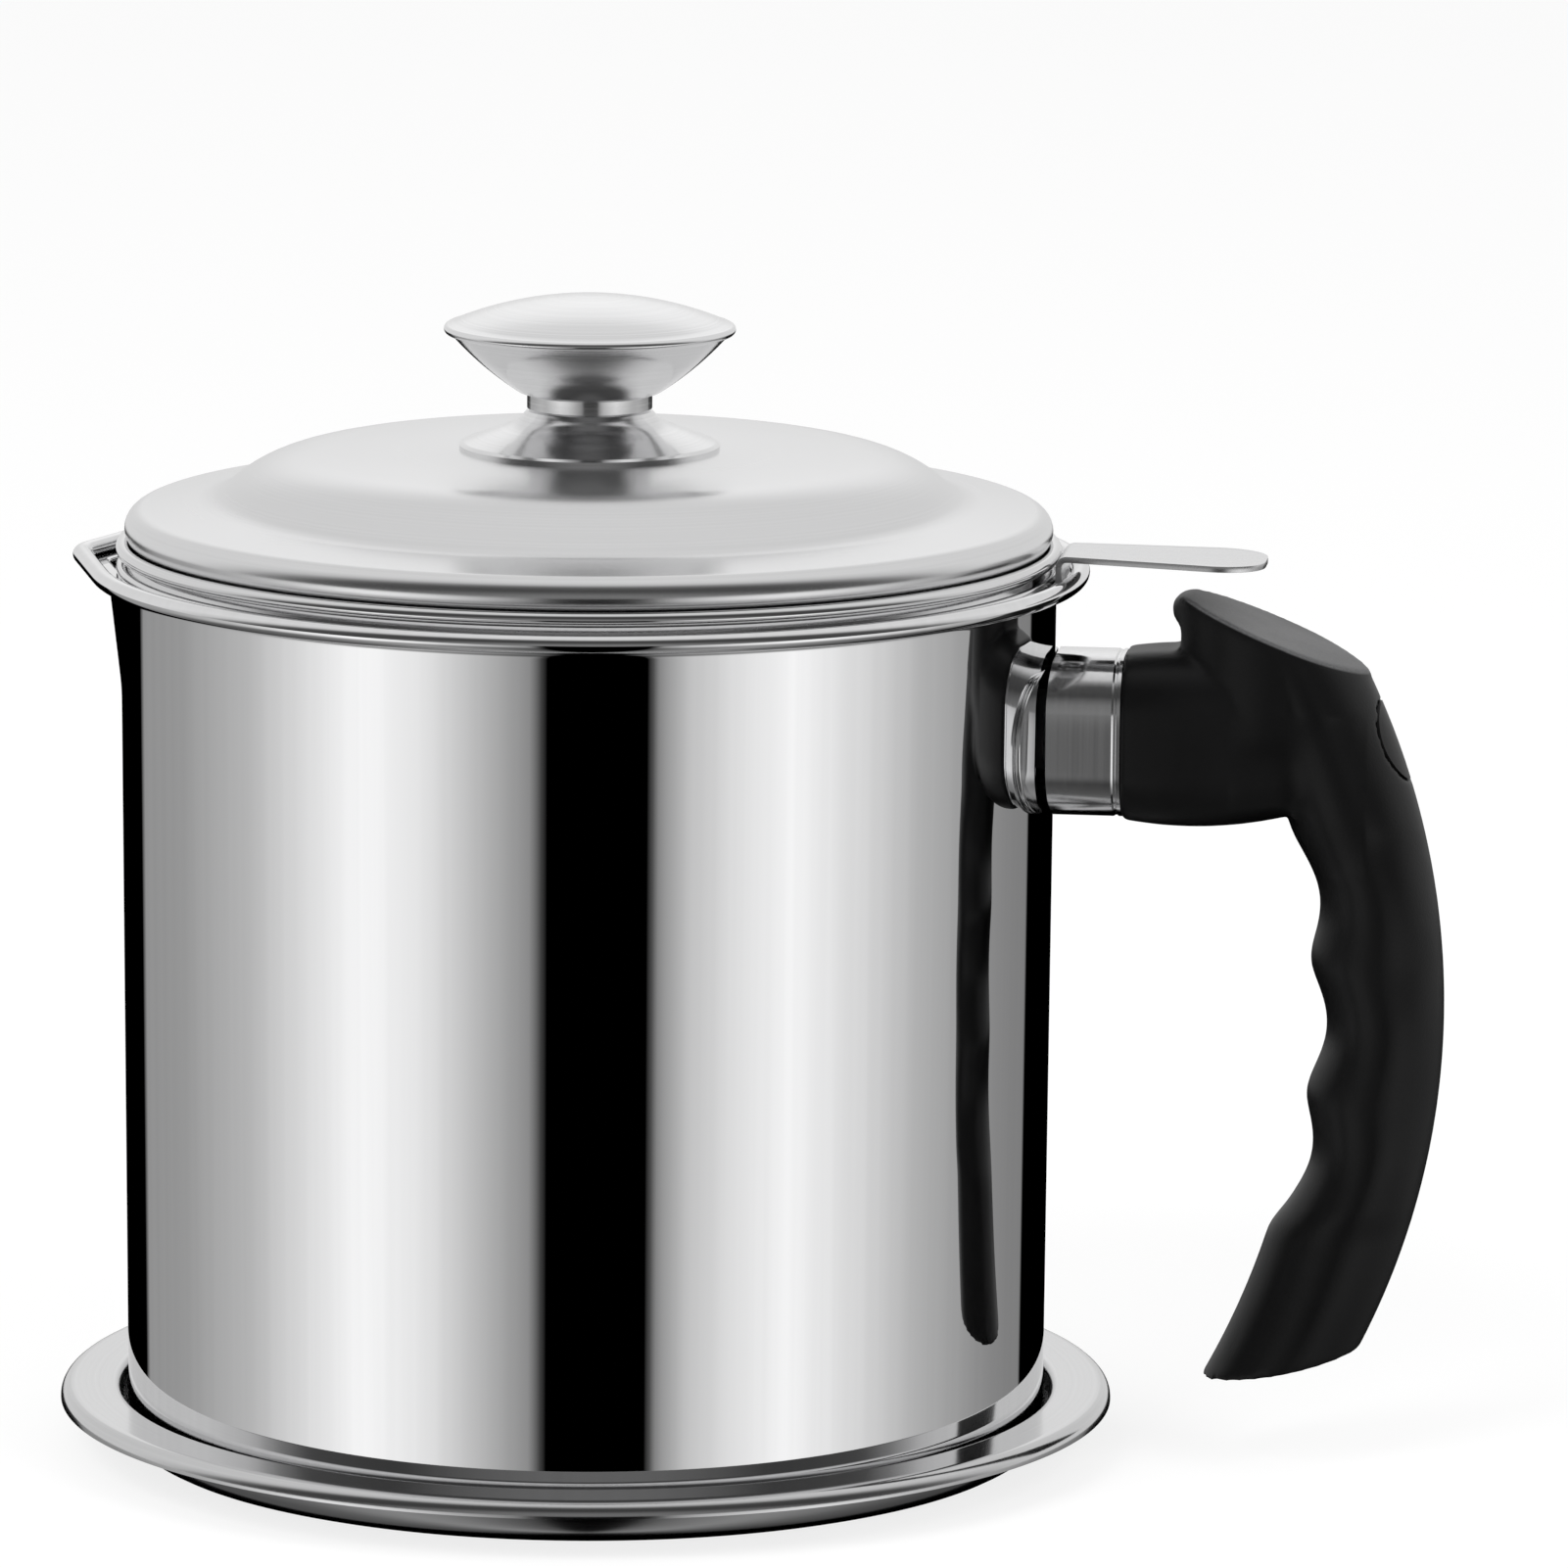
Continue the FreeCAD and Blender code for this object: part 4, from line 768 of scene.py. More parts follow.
@dataclass
class Strainer:
    """Bowl with a curled rim and a swaged stop bead, its perforated floor and its thumb tab."""

    sheet: float = 0.0005
    bead: float = 0.0011
    curl_end: float = math.radians(250)
    rise: float = 0.0038
    stop_bead: float = 0.0008
    stop_gap: float = 0.0001
    corner: float = 0.0188
    ring_radius: float = 0.042
    tab_sheet: float = 0.0009
    tab_bend: float = 0.0012
    tab_root_width: float = 0.014
    tab_end_width: float = 0.02
    tab_corner: float = 0.008
    tab_slope: float = math.radians(1.4)
    tab_rounding: float = 0.0002
    tab_edge_angle: float = math.radians(60)
    tab_rows: int = 12
    tab_columns: int = 60

    def build(self) -> None:
        """Model the bowl and the tab, and dress the perforated screen."""
        self.build_bowl()
        self.build_tab()
        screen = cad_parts["strainer_screen"]
        dress(screen, STRAINER_STEEL)

    def build_bowl(self) -> None:
        """Spin the bowl's section: wall, stop bead, curled rim and open floor ring."""
        low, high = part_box("strainer_bowl")
        sheet = self.sheet
        bead = self.bead
        hollow = bead - sheet
        centre = high.x - bead
        rim = high.z - bead
        outer = centre - hollow
        inner = outer - sheet
        ledge = rim - self.rise
        floor = low.z
        stop = centre + bead - self.stop_bead
        stop_height = ledge + self.stop_gap + self.stop_bead
        stop_hollow = self.stop_bead - sheet
        corner = self.corner
        outline = Outline(self.ring_radius, floor + sheet)
        outline.line(self.ring_radius, floor)
        outline.line(outer - corner, floor)
        outline.arc(outer, floor + corner, corner, Turn.LEFT)
        outline.line(outer, stop_height - self.stop_bead)
        outline.line(stop, stop_height - self.stop_bead)
        outline.curl(stop, stop_height, self.stop_bead, Turn.LEFT, 0, QUARTER_TURN)
        outline.line(outer, stop_height + self.stop_bead)
        outline.line(outer, rim)
        outline.curl(centre, rim, hollow, Turn.RIGHT, QUARTER_TURN, 0, -QUARTER_TURN, self.curl_end)
        outline.line(*on_circle(centre, rim, bead, self.curl_end))
        outline.curl(centre, rim, bead, Turn.LEFT, -QUARTER_TURN, 0, QUARTER_TURN, HALF_TURN)
        outline.line(inner, stop_height + stop_hollow)
        outline.line(stop, stop_height + stop_hollow)
        outline.curl(stop, stop_height, stop_hollow, Turn.RIGHT, 0, -QUARTER_TURN)
        outline.line(inner, stop_height - stop_hollow)
        outline.line(inner, floor + corner)
        outline.arc(outer - corner, floor + sheet, corner - sheet, Turn.RIGHT)
        outline.line(self.ring_radius, floor + sheet)
        del outline.points[-1]
        bowl = finished(spun(outline), "strainer_shell")
        seat(bowl, "strainer", ["strainer_bowl"], STRAINER_STEEL)

    def build_tab(self) -> None:
        """Bend a grid into the tab: a leg welded to the rim, a bend and a plate that widens."""
        low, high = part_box("strainer_tab")
        _, bowl_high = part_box("strainer_bowl")
        half = self.tab_sheet / 2
        leg_reach = bowl_high.x + half
        plate = high.z - half
        side = Outline(leg_reach, low.z)
        side.line(leg_reach, plate - self.tab_bend, pieces=EDGE_SPANS)
        side.arc(leg_reach + self.tab_bend, plate, self.tab_bend, Turn.RIGHT)
        bend_end = leg_reach + self.tab_bend
        flat = high.x - bend_end
        side.line(high.x, plate - flat * math.tan(self.tab_slope), pieces=self.tab_columns)
        stations = side.points
        mesh = bmesh.new()
        bmesh.ops.create_grid(mesh, x_segments=len(stations) - 1, y_segments=self.tab_rows, size=0.5)
        for vert in mesh.verts:
            station = stations[round((vert.co.x + 0.5) * (len(stations) - 1))]
            share = max(station.x - leg_reach, 0) / (high.x - leg_reach)
            width = self.tab_root_width + (self.tab_end_width - self.tab_root_width) * share
            past = station.x - (high.x - self.tab_corner)
            if past > 0:
                width -= 2 * (self.tab_corner - math.sqrt(max(self.tab_corner**2 - past**2, 0)))
            vert.co = Vector((station.x, vert.co.y * width, station.y))
        bmesh.ops.recalc_face_normals(mesh, faces=mesh.faces)
        tab = finished(mesh, "thumb_tab")
        thicken(tab, self.tab_sheet, 0, self.tab_rounding, self.tab_edge_angle)
        seat(tab, "strainer", ["strainer_tab"], TAB_STEEL)


# ------------------------------------------------------------------ lid and knob


@dataclass
class Lid:
    """Domed lid: a crown that falls gently, a steep brow, a shoulder and a rolled-in edge."""

    sheet: float = 0.0006
    edge_round: float = 0.003
    hem: float = 0.0023
    shoulder_width: float = 0.0108
    brow_width: float = 0.014
    brow_radius: float = 0.02
    crown_tilt: float = math.radians(3.2)
    crown_radius: float = 0.02
    fold: float = 0.008
    bore: float = 0.00275

    def build(self) -> None:
        """Spin the lid's section."""
        low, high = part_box("lid_shell")
        sheet = self.sheet
        edge = high.x - self.edge_round
        centre = low.z + self.edge_round
        hollow = self.edge_round - sheet
        corner = edge - self.shoulder_width
        brow = corner - self.brow_width
        sin_tilt = math.sin(self.crown_tilt)
        cos_tilt = math.cos(self.crown_tilt)
        dome = (brow - self.crown_radius) / sin_tilt
        brow_height = high.z - (brow - self.crown_radius) * math.tan(self.crown_tilt / 2)
        steep = math.asin(sin_tilt + self.brow_width / self.brow_radius)
        shoulder = brow_height - self.brow_radius * (cos_tilt - math.cos(steep))
        rise = shoulder - centre
        run = self.shoulder_width
        slope = math.atan(rise / run) - math.asin(self.edge_round / math.hypot(run, rise))
        sin_slope = math.sin(slope)
        cos_slope = math.cos(slope)
        # the break between brow and shoulder is folded round a circle that touches both
        bend = self.brow_radius + self.fold
        brow_centre = Vector((
            brow - self.brow_radius * sin_tilt,
            brow_height - self.brow_radius * cos_tilt,
        ))
        along = Vector((cos_slope, -sin_slope))
        rise_out = Vector((sin_slope, cos_slope))
        apart = Vector((corner, shoulder)) + self.fold * rise_out - brow_centre
        reach = apart.dot(along)
        slide = math.sqrt(reach**2 - apart.length_squared + bend**2) - reach
        lean = (apart + slide * along) / bend
        fold_in = brow_centre + self.brow_radius * lean
        fold_out = Vector((corner, shoulder)) + slide * along
        under = self.fold + sheet
        outline = Outline(self.bore, high.z - sheet)
        outline.line(self.crown_radius, high.z - sheet)
        outline.arc(brow - sheet * sin_tilt, brow_height - sheet * cos_tilt, dome - sheet, Turn.RIGHT)
        outline.arc(*(fold_in - sheet * lean), self.brow_radius - sheet, Turn.RIGHT)
        outline.arc(*(fold_out - sheet * rise_out), under, Turn.LEFT)
        outline.line(edge + hollow * sin_slope, centre + hollow * cos_slope)
        outline.curl(edge, centre, hollow, Turn.RIGHT, 0, -QUARTER_TURN)
        outline.line(edge - self.hem, centre - hollow)
        outline.line(edge - self.hem, low.z)
        outline.line(edge, low.z)
        outline.curl(edge, centre, self.edge_round, Turn.LEFT, 0, QUARTER_TURN - slope)
        outline.line(*fold_out)
        outline.arc(*fold_in, self.fold, Turn.RIGHT)
        outline.arc(brow, brow_height, self.brow_radius, Turn.LEFT)
        outline.arc(self.crown_radius, high.z, dome, Turn.LEFT)
        outline.line(self.bore, high.z)
        seat(finished(spun(outline), "domed_lid"), "lid", ["lid_shell"], LID_STEEL)


@dataclass
class Knob:
    """Hourglass knob: flared foot, turned collar, spun cone and domed cap."""

    sheet: float = 0.0008
    bore: float = 0.00275
    base_edge: float = 0.0006
    base_bevel: float = 0.0004
    skirt_radius: float = 0.0134
    skirt_height: float = 0.0031
    flare: float = 0.0075
    chamfer: float = 0.0004
    cone_radius: float = 0.0106
    cone_bulge: float = 0.049
    cap_lip: float = 0.0007
    cap_seat: float = 0.0009

    def build(self) -> None:
        """Model the knob's four turned pieces."""
        self.build_base()
        self.build_neck()
        self.build_cone()
        self.build_cap()

    def put(self, outline: Outline, name: str, node: str, closed: bool = True) -> None:
        """Spin one of the knob's pieces and put it in its node's place.

        Args:
            outline: the piece's section.
            name: the piece's name.
            node: the CAD node that it stands for.
            closed: whether the section's last point joins its first.
        """
        seat(finished(spun(outline, closed), name), "lid", [node], KNOB_STEEL)

    def build_base(self) -> None:
        """Flared foot: a flat skirt that turns up into a narrow collar."""
        low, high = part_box("knob_base")
        _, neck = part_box("knob_neck")
        sheet = self.sheet
        floor = high.z - sheet
        outline = Outline(self.bore, floor)
        outline.line(neck.x - sheet, floor)
        outline.arc(
            self.skirt_radius - sheet, low.z + self.skirt_height - sheet, self.flare + sheet, Turn.LEFT
        )
        outline.line(high.x - sheet, low.z + self.base_edge / 2)
        outline.line(high.x - sheet, low.z)
        outline.line(high.x, low.z)
        outline.line(high.x, low.z + self.base_edge)
        outline.line(high.x - self.base_edge, low.z + self.base_edge + self.base_bevel)
        outline.line(self.skirt_radius, low.z + self.skirt_height)
        outline.arc(neck.x, high.z, self.flare, Turn.RIGHT)
        outline.line(self.bore, high.z)
        self.put(outline, "knob_foot", "knob_base")

    def build_neck(self) -> None:
        """Short turned collar with chamfered ends."""
        low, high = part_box("knob_neck")
        outline = Outline(self.bore, high.z)
        outline.line(self.bore, low.z)
        outline.line(high.x - self.chamfer, low.z)
        outline.line(high.x, low.z + self.chamfer)
        outline.line(high.x, high.z - self.chamfer)
        outline.line(high.x - self.chamfer, high.z)
        self.put(outline, "knob_collar", "knob_neck")

    def build_cone(self) -> None:
        """Cup that opens upwards, its side slightly convex."""
        low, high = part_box("knob_cone")
        slope = (high.x - self.cone_radius) / (high.z - low.z)
        across = self.sheet * math.hypot(1, slope)
        inside = self.cone_radius + self.sheet * slope - across
        outline = Outline(self.bore, low.z + self.sheet)
        outline.line(self.bore, low.z)
        outline.line(self.cone_radius, low.z)
        outline.arc(high.x, high.z, self.cone_bulge, Turn.LEFT)
        outline.line(high.x - across, high.z)
        outline.arc(inside, low.z + self.sheet, self.cone_bulge, Turn.RIGHT)
        self.put(outline, "knob_cup", "knob_cone")

    def build_cap(self) -> None:
        """Domed cap with a round lip over the cone's rim."""
        low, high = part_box("knob_cap")
        _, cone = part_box("knob_cone")
        seat_radius = cone.x - self.cap_seat
        lip = high.x - self.cap_lip
        rise = high.z - low.z - 2 * self.cap_lip
        dome = (lip**2 + rise**2) / (2 * rise)
        shoulder = high.z - dome + math.sqrt(dome**2 - seat_radius**2) - self.sheet
        outline = Outline(0, high.z - self.sheet)
        outline.arc(seat_radius, shoulder, dome, Turn.RIGHT)
        outline.line(seat_radius, low.z)
        outline.line(lip, low.z)
        outline.curl(lip, low.z + self.cap_lip, self.cap_lip, Turn.LEFT, 0, QUARTER_TURN)
        outline.arc(0, high.z, dome, Turn.LEFT)
        self.put(outline, "knob_top", "knob_cap", closed=False)


# ------------------------------------------------------------------ handle


@dataclass
class Handle:
    """Saddle on the pot's wall, ferrule and moulded grip."""

    saddle_sheet: float = 0.0008
    saddle_corner: float = 0.0095
    saddle_rings: int = 14
    saddle_ring_width: float = 0.0007
    saddle_rounding: float = 0.00025
    saddle_edge_angle: float = math.radians(50)
    ferrule_corner: float = 0.008
    ferrule_foot: float = 0.0006
    ferrule_turn_in: float = 0.0008
    ferrule_lip: float = 0.0007
    # groove behind the lip: distance back in widths of the lip, and how far the wall stands out there
    ferrule_groove: tuple[tuple[float, float], ...] = ((2, 0), (1.6, -0.0002), (1.2, -0.0002), (0.9, 0))
    grip_merge: float = 0.000002
    voxel: float = 0.0005
    smoothing_share: float = 0.5
    smoothing_passes: int = 5
    elbow_start: float = 0.0165
    elbow_end: float = 0.0365
    elbow_top: float = 0.0165
    elbow_bottom: float = 0.041
    elbow_inside: float = 0.006
    elbow_passes: int = 80
    nose_setback: float = 0.0089
    nose_radius: float = 0.0023
    thumb_angle: float = math.radians(22)

    def build(self) -> None:
        """Model the saddle, the ferrule and the grip, and dress the plug at the grip's back."""
        self.build_saddle()
        self.build_ferrule()
        plastic = self.plastic()
        self.build_grip(plastic)
        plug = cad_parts["handle_plug"]
        dress(plug, plastic)

    def plastic(self) -> MouldedPlastic:
        """Black plastic of the grip, with its thumb face found from the rounded nose.

        Returns:
            The finish.
        """
        low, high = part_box("handle_grip")
        aim = Vector((math.sin(self.thumb_angle), 0, math.cos(self.thumb_angle)))
        nose = Vector((low.x + self.nose_setback, 0, high.z - self.nose_radius))
        return MouldedPlastic(
            "grip_plastic",
            colour=(0.005, 0.005, 0.0052),
            roughness=0.4,
            gloss=0.22,
            grain_depth=0.00003,
            face_colour=(0.1, 0.1, 0.102),
            face_angle=self.thumb_angle,
            face_level=aim.dot(nose) + self.nose_radius,
        )

    def build_saddle(self) -> None:
        """Bend a rounded plate round the wall."""
        low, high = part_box("handle_saddle")
        middle = (low.z + high.z) / 2
        outer = high.x
        mesh = bmesh.new()
        for point in rounded_loop(high.y - low.y, high.z - low.z, self.saddle_corner):
            mesh.verts.new(point)
        bmesh.ops.remove_doubles(mesh, verts=mesh.verts, dist=MERGE_DISTANCE)
        rim = bmesh.ops.contextual_create(mesh, geom=list(mesh.verts))
        for _ in range(self.saddle_rings):
            bmesh.ops.inset_region(
                mesh, faces=rim["faces"], thickness=self.saddle_ring_width, use_even_offset=True
            )
        for vert in mesh.verts:
            reach = math.sqrt(outer**2 - vert.co.y**2)
            vert.co = Vector((reach, vert.co.y, vert.co.z + middle))
        bmesh.ops.recalc_face_normals(mesh, faces=mesh.faces)
        saddle = finished(mesh, "handle_plate")
        inwards = -1 if saddle.data.polygons[0].normal.x > 0 else 1
        thicken(saddle, self.saddle_sheet, inwards, self.saddle_rounding, self.saddle_edge_angle)
        seat(saddle, "pot", ["handle_saddle"], FERRULE_STEEL)

    def build_ferrule(self) -> None:
        """Oval tube whose foot follows the saddle, with a small rolled lip at the grip."""
        low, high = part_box("handle_ferrule")
        _, saddle_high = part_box("handle_saddle")
        middle = (low.z + high.z) / 2
        width = high.y - low.y
        height = high.z - low.z
        stations = [
            (saddle_high.x, 0),
            (saddle_high.x + self.ferrule_foot, 0),
            *[(high.x - back * self.ferrule_lip, swell) for back, swell in self.ferrule_groove],
            (high.x - SUPPORT_INSET, 0),
            (high.x, -SUPPORT_INSET),
            (high.x, -self.ferrule_turn_in),
        ]
        mesh = bmesh.new()
        rings = []
        for reach, swell in stations:
            loop = rounded_loop(width + 2 * swell, height + 2 * swell, self.ferrule_corner + swell)
            ring = [mesh.verts.new(point + Vector((reach, 0, middle))) for point in loop]
            rings.append([mesh.edges.new((ring[index - 1], ring[index])) for index in range(len(ring))])
        for ring, following in zip(rings, rings[1:]):
            bmesh.ops.bridge_loops(mesh, edges=ring + following)
        foot = {vert for edge in rings[0] for vert in edge.verts}
        for vert in foot:
            vert.co.x = math.sqrt(saddle_high.x**2 - vert.co.y**2)
        bmesh.ops.remove_doubles(mesh, verts=mesh.verts, dist=MERGE_DISTANCE)
        bmesh.ops.recalc_face_normals(mesh, faces=mesh.faces)
        ferrule = finished(mesh, "handle_collar")
        seat(ferrule, "pot", ["handle_ferrule"], FERRULE_STEEL)

    def build_grip(self, plastic: MouldedPlastic) -> None:
        """Soften the grip's moulded edges on a fine, even copy of its solid, most of all at the elbow.

        Args:
            plastic: the grip's finish.
        """
        mesh = bmesh.new()
        mesh.from_mesh(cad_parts["handle_grip"].data)
        bmesh.ops.remove_doubles(mesh, verts=mesh.verts, dist=self.grip_merge)
        rough = finished(mesh, "moulded_grip")
        remesh = rough.modifiers.new("even", "REMESH")
        remesh.mode = "VOXEL"
        remesh.voxel_size = self.voxel
        depsgraph = bpy.context.evaluated_depsgraph_get()
        even = bmesh.new()
        even.from_object(rough, depsgraph)
        bpy.data.objects.remove(rough)
        low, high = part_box("handle_grip")
        elbow = [
            vert for vert in even.verts
            if self.elbow_start < vert.co.x - low.x < self.elbow_end
            and self.elbow_top < high.z - vert.co.z < self.elbow_bottom
            and abs(vert.co.y) > self.elbow_inside
        ]
        softened = [list(even.verts)] * self.smoothing_passes + [elbow] * self.elbow_passes
        for verts in softened:
            bmesh.ops.smooth_vert(
                even, verts=verts, factor=self.smoothing_share,
                use_axis_x=True, use_axis_y=True, use_axis_z=True,
            )
        grip = finished(even, "moulded_grip")
        seat(grip, "pot", ["handle_grip"], plastic)


class Fasteners:
    """Screws, washers and threaded bosses, which keep their CAD shape."""

    nodes = (
        "handle_stud", "handle_screw", "handle_lock_washer",
        "knob_insert", "knob_screw", "knob_washer", "knob_lock_washer",
    )

    def build(self) -> None:
        """Dress every fastener in plain steel."""
        for name in self.nodes:
            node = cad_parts[name]
            dress(node, FASTENER_STEEL)


# ------------------------------------------------------------------ studio


@dataclass(frozen=True)
class Glow:
    """One stop in the brightness of the room that the steel mirrors."""

    place: float
    brightness: float


def glows(*stops: tuple[float, float]) -> tuple[Glow, ...]:
    """Stops from pairs of a place in degrees and a brightness."""
    return tuple(Glow(*stop) for stop in stops)


@dataclass(frozen=True)
class Lamp:
    """Square soft lamp that faces the pot, its power in watts."""

    name: str
    place: tuple[float, float, float]
    size: float
    power: float
    aim_height: float = 0.08

    def hang(self) -> None:
        """Add the lamp, which reflections don't see."""
        data = bpy.data.lights.new(self.name, "AREA")
        data.size = self.size
        data.energy = self.power
        lamp = bpy.data.objects.new(self.name, data)
        lamp.visible_glossy = False
        bpy.context.scene.collection.objects.link(lamp)
        place = Vector(self.place)
        aim = Vector((0, 0, self.aim_height)) - place
        lamp.matrix_world = Matrix.Translation(place) @ aim.to_track_quat("-Z", "Y").to_matrix().to_4x4()


@dataclass
class Studio:
    """White floor and surroundings, soft lamps, the room that only reflections see, and the camera."""

    camera_azimuth: float = math.radians(8)
    camera_distance: float = 1.543
    camera_height: float = 0.3766
    camera_pitch: float = math.radians(10.13)
    camera_yaw: float = math.radians(1.098)
    camera_roll: float = math.radians(0.4)
    camera_lens: float = 238.1
    sensor_width: float = 36
    plain_light: float = 0.55
    seen_light: float = 1
    floor_colour: Colour = (0.9, 0.9, 0.9)
    floor_roughness: float = 0.9
    floor_size: float = 12.0
    floor_gap: float = 0.0002
    floor_glow_share: float = 0.72
    floor_glow: float = 1.1
    room_radius: float = 3.0
    room_subdivisions: int = 5
    room_split: float = -0.2
    room_split_softness: float = 0.06
    # below the horizon, by degrees round from the camera: two soft lights that fade outwards, a black
    # flag between them and black cloths at the back
    table_glow: tuple[Glow, ...] = glows(
        (-180, 0), (-143, 0), (-141, 0.33), (-118, 0.37), (-90, 0.57), (-72, 0.88), (-56, 1.14),
        (-40, 0.93), (-26, 0.58), (-14, 0.31), (-10.6, 0), (14.8, 0), (17, 0.3), (24, 0.64), (35, 0.87),
        (50, 1.11), (68, 0.85), (90, 0.52), (116, 0.31), (128, 0.26), (138, 0.24), (139, 0), (180, 0),
    )
    # lower still the lights fade to this share
    low_share: float = 0.3
    low_start: float = math.radians(18)
    low_end: float = math.radians(40)
    # above the horizon, by degrees away from the middle of a soft light at the back
    back_light_height: float = math.radians(26)
    back_glow: tuple[Glow, ...] = glows(
        (0, 1.04), (12, 0.94), (18, 0.8), (24, 0.76), (66, 0.8), (82, 0.64), (91, 0.26), (99, 0.08),
        (120, 0.06), (136, 0.18), (150, 0.22), (180, 0.18),
    )
    # one over each shoulder of the camera
    lamps: tuple[Lamp, ...] = (
        Lamp("key", (-0.9, -1.3, 1.5), 1.1, 22),
        Lamp("fill", (1.3, -0.7, 1.2), 1.0, 12),
    )

    def build(self) -> None:
        """Set the camera, the floor, the lamps, the mirrored room and the surroundings."""
        self.build_camera()
        self.build_world()
        self.build_floor()
        self.build_room()
        for lamp in self.lamps:
            lamp.hang()
        bpy.context.scene.view_settings.view_transform = "Standard"

    def build_camera(self) -> None:
        """Camera a little above the pot, turned slightly towards the handle's side."""
        data = bpy.data.cameras.new("camera")
        data.lens = self.camera_lens
        data.sensor_width = self.sensor_width
        camera = bpy.data.objects.new("camera", data)
        bpy.context.scene.collection.objects.link(camera)
        place = Vector((
            self.camera_distance * math.sin(self.camera_azimuth),
            -self.camera_distance * math.cos(self.camera_azimuth),
            self.camera_height,
        ))
        heading = Matrix.Rotation(self.camera_azimuth - self.camera_yaw, 4, "Z")
        tilt = Matrix.Rotation(QUARTER_TURN - self.camera_pitch, 4, "X")
        roll = Matrix.Rotation(self.camera_roll, 4, "Z")
        camera.matrix_world = Matrix.Translation(place) @ heading @ tilt @ roll
        bpy.context.scene.camera = camera

    def build_world(self) -> None:
        """Surroundings: white where they are seen or mirrored, a plain light level elsewhere."""
        world = bpy.data.worlds.new("surroundings")
        bpy.context.scene.world = world
        world.use_nodes = True
        wiring = Wiring(world.node_tree)
        plain = wiring.tree.nodes["Background"]
        seen = wiring.add("ShaderNodeBackground")
        for background, strength in ((plain, self.plain_light), (seen, self.seen_light)):
            background.inputs["Color"].default_value = WHITE
            background.inputs["Strength"].default_value = strength
        rays = wiring.add("ShaderNodeLightPath")
        share = rays.outputs["Is Camera Ray"]
        for kind in ("Is Glossy Ray", "Is Transmission Ray"):
            either = wiring.add("ShaderNodeMath", operation="MAXIMUM")
            wiring.link(share, either.inputs[0])
            wiring.link(rays.outputs[kind], either.inputs[1])
            share = either.outputs["Value"]
        mix = wiring.shader_mix(share, plain.outputs["Background"], seen.outputs["Background"])
        wiring.link(mix, wiring.tree.nodes["World Output"].inputs["Surface"])

    def build_floor(self) -> None:
        """White floor that keeps the object's soft shadow."""
        mesh = bmesh.new()
        bmesh.ops.create_grid(mesh, x_segments=1, y_segments=1, size=self.floor_size / 2)
        bmesh.ops.translate(mesh, verts=mesh.verts, vec=(0, 0, -self.floor_gap))
        floor = finished(mesh, "floor")
        recipe = Recipe("floor_white")
        recipe.shader.inputs["Base Color"].default_value = (*self.floor_colour, 1)
        recipe.shader.inputs["Roughness"].default_value = self.floor_roughness
        glow = recipe.add("ShaderNodeEmission")
        glow.inputs["Strength"].default_value = self.floor_glow
        rays = recipe.add("ShaderNodeLightPath")
        share = recipe.add("ShaderNodeMath", operation="MULTIPLY")
        share.inputs[1].default_value = self.floor_glow_share
        recipe.link(rays.outputs["Is Camera Ray"], share.inputs[0])
        bare = recipe.shader.outputs["BSDF"]
        recipe.show(recipe.shader_mix(share.outputs["Value"], bare, glow.outputs["Emission"]))
        floor.data.materials.append(recipe.material)
        floor.visible_glossy = False

    def ramp(self, recipe: Recipe, angle: Socket, table: tuple[Glow, ...]) -> Socket:
        """Turn an angle into a brightness that runs from stop to stop.

        Args:
            recipe: the material that is being made.
            angle: the angle, in radians.
            table: the stops.

        Returns:
            The brightness.
        """
        first = table[0].place
        last = table[-1].place
        share = recipe.ranged(angle, math.radians(first), math.radians(last))
        ramp = recipe.add("ShaderNodeValToRGB")
        stops = ramp.color_ramp.elements
        stops.remove(stops[1])
        for index, glow in enumerate(table):
            place = (glow.place - first) / (last - first)
            stop = stops[0] if index == 0 else stops.new(place)
            stop.position = place
            stop.color = (glow.brightness, glow.brightness, glow.brightness, 1)
        recipe.link(share, ramp.inputs["Fac"])
        return ramp.outputs["Color"]

    def round_angle(self, recipe: Recipe) -> Socket:
        """Angle round the pot's axis, zero towards the camera.

        Args:
            recipe: the material that is being made.

        Returns:
            The angle, growing towards the handle.
        """
        turned = recipe.add("ShaderNodeMapping")
        turned.inputs["Rotation"].default_value = (0, 0, QUARTER_TURN - self.camera_azimuth)
        recipe.link(recipe.place, turned.inputs["Vector"])
        apart = recipe.add("ShaderNodeSeparateXYZ")
        recipe.link(turned.outputs["Vector"], apart.inputs["Vector"])
        angle = recipe.add("ShaderNodeMath", operation="ARCTAN2")
        recipe.link(apart.outputs["Y"], angle.inputs[0])
        recipe.link(apart.outputs["X"], angle.inputs[1])
        return angle.outputs["Value"]

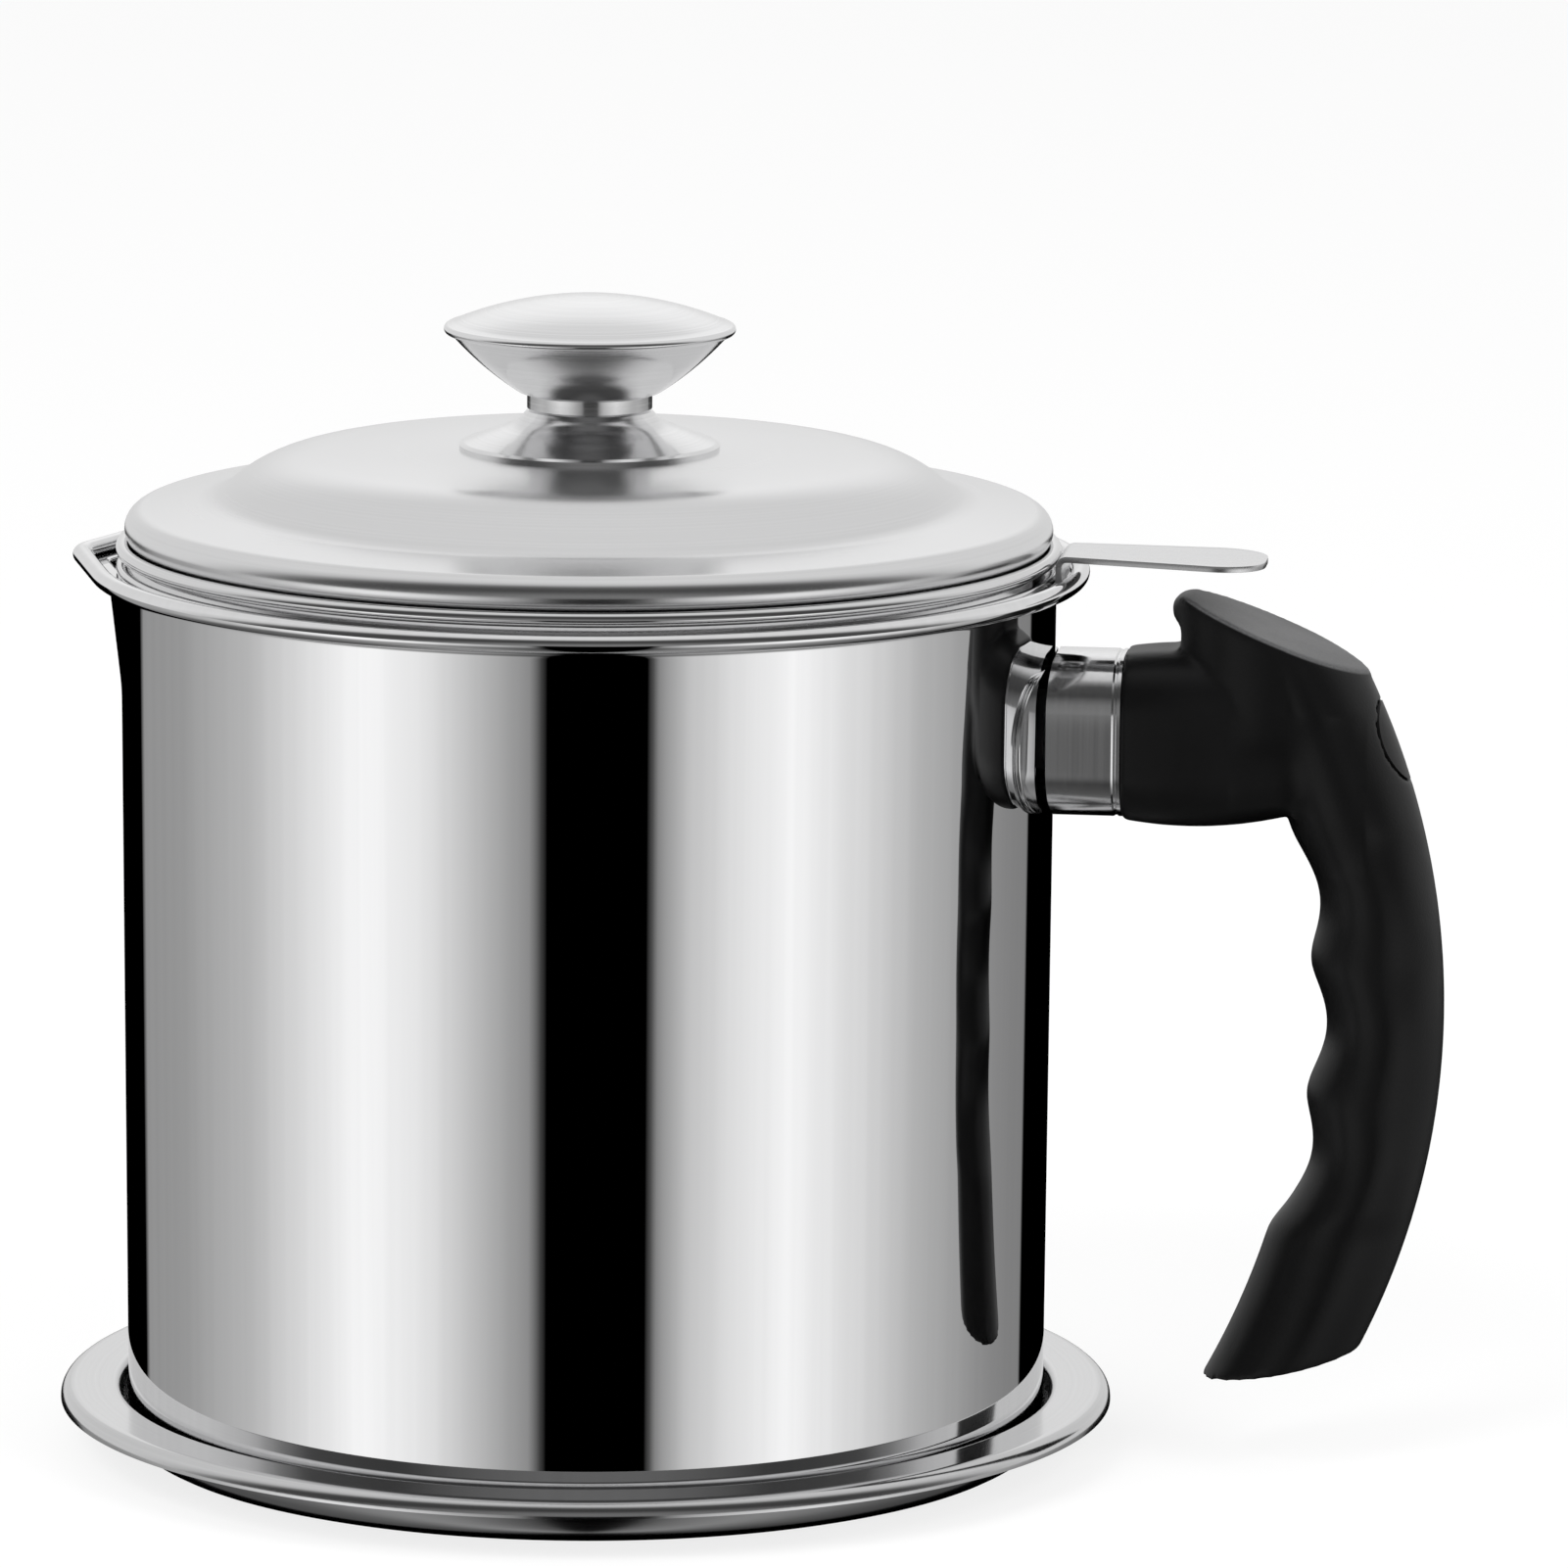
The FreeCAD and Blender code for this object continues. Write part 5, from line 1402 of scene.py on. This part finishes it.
    def back_angle(self, recipe: Recipe) -> Socket:
        """Angle away from the middle of the soft light at the back.

        Args:
            recipe: the material that is being made.

        Returns:
            The angle.
        """
        level = math.cos(self.back_light_height)
        aim = Vector((
            -level * math.sin(self.camera_azimuth),
            level * math.cos(self.camera_azimuth),
            math.sin(self.back_light_height),
        ))
        along = recipe.add("ShaderNodeVectorMath", operation="DOT_PRODUCT")
        along.inputs[1].default_value = aim / self.room_radius
        recipe.link(recipe.place, along.inputs[0])
        angle = recipe.add("ShaderNodeMath", operation="ARCCOSINE")
        recipe.link(along.outputs["Value"], angle.inputs[0])
        return angle.outputs["Value"]

    def build_room(self) -> None:
        """Room that only reflections see: soft lights round a low level, a dark front, a pale back."""
        mesh = bmesh.new()
        bmesh.ops.create_icosphere(mesh, subdivisions=self.room_subdivisions, radius=self.room_radius)
        room = finished(mesh, "mirrored_room")
        room.visible_camera = False
        room.visible_diffuse = False
        room.visible_shadow = False
        room.visible_transmission = False
        recipe = Recipe("room_glow")
        apart = recipe.add("ShaderNodeSeparateXYZ")
        recipe.link(recipe.place, apart.inputs["Vector"])
        height = apart.outputs["Z"]
        above = recipe.ranged(
            height,
            self.room_split - self.room_split_softness,
            self.room_split + self.room_split_softness,
            soft=True,
        )
        fade = recipe.ranged(
            height,
            -self.room_radius * math.sin(self.low_end),
            -self.room_radius * math.sin(self.low_start),
            low=self.low_share,
            soft=True,
        )
        table = recipe.add("ShaderNodeVectorMath", operation="SCALE")
        recipe.link(self.ramp(recipe, self.round_angle(recipe), self.table_glow), table.inputs["Vector"])
        recipe.link(fade, table.inputs["Scale"])
        mix = recipe.add("ShaderNodeMix", data_type="RGBA")
        recipe.link(above, mix.inputs["Factor"])
        recipe.link(table.outputs["Vector"], mix.inputs["A"])
        recipe.link(self.ramp(recipe, self.back_angle(recipe), self.back_glow), mix.inputs["B"])
        glow = recipe.add("ShaderNodeEmission")
        recipe.link(mix.outputs["Result"], glow.inputs["Color"])
        recipe.show(glow.outputs["Emission"])
        room.data.materials.append(recipe.material)


def main() -> None:
    """Build every sub-assembly, then the studio."""
    logging.basicConfig(level=logging.INFO, format="%(name)s: %(message)s")
    for assembly in (Tray(), Pot(), Strainer(), Lid(), Knob(), Handle(), Fasteners(), Studio()):
        assembly.build()
        log.info("%s is in place", type(assembly).__name__)


if __name__ == "__main__":
    main()
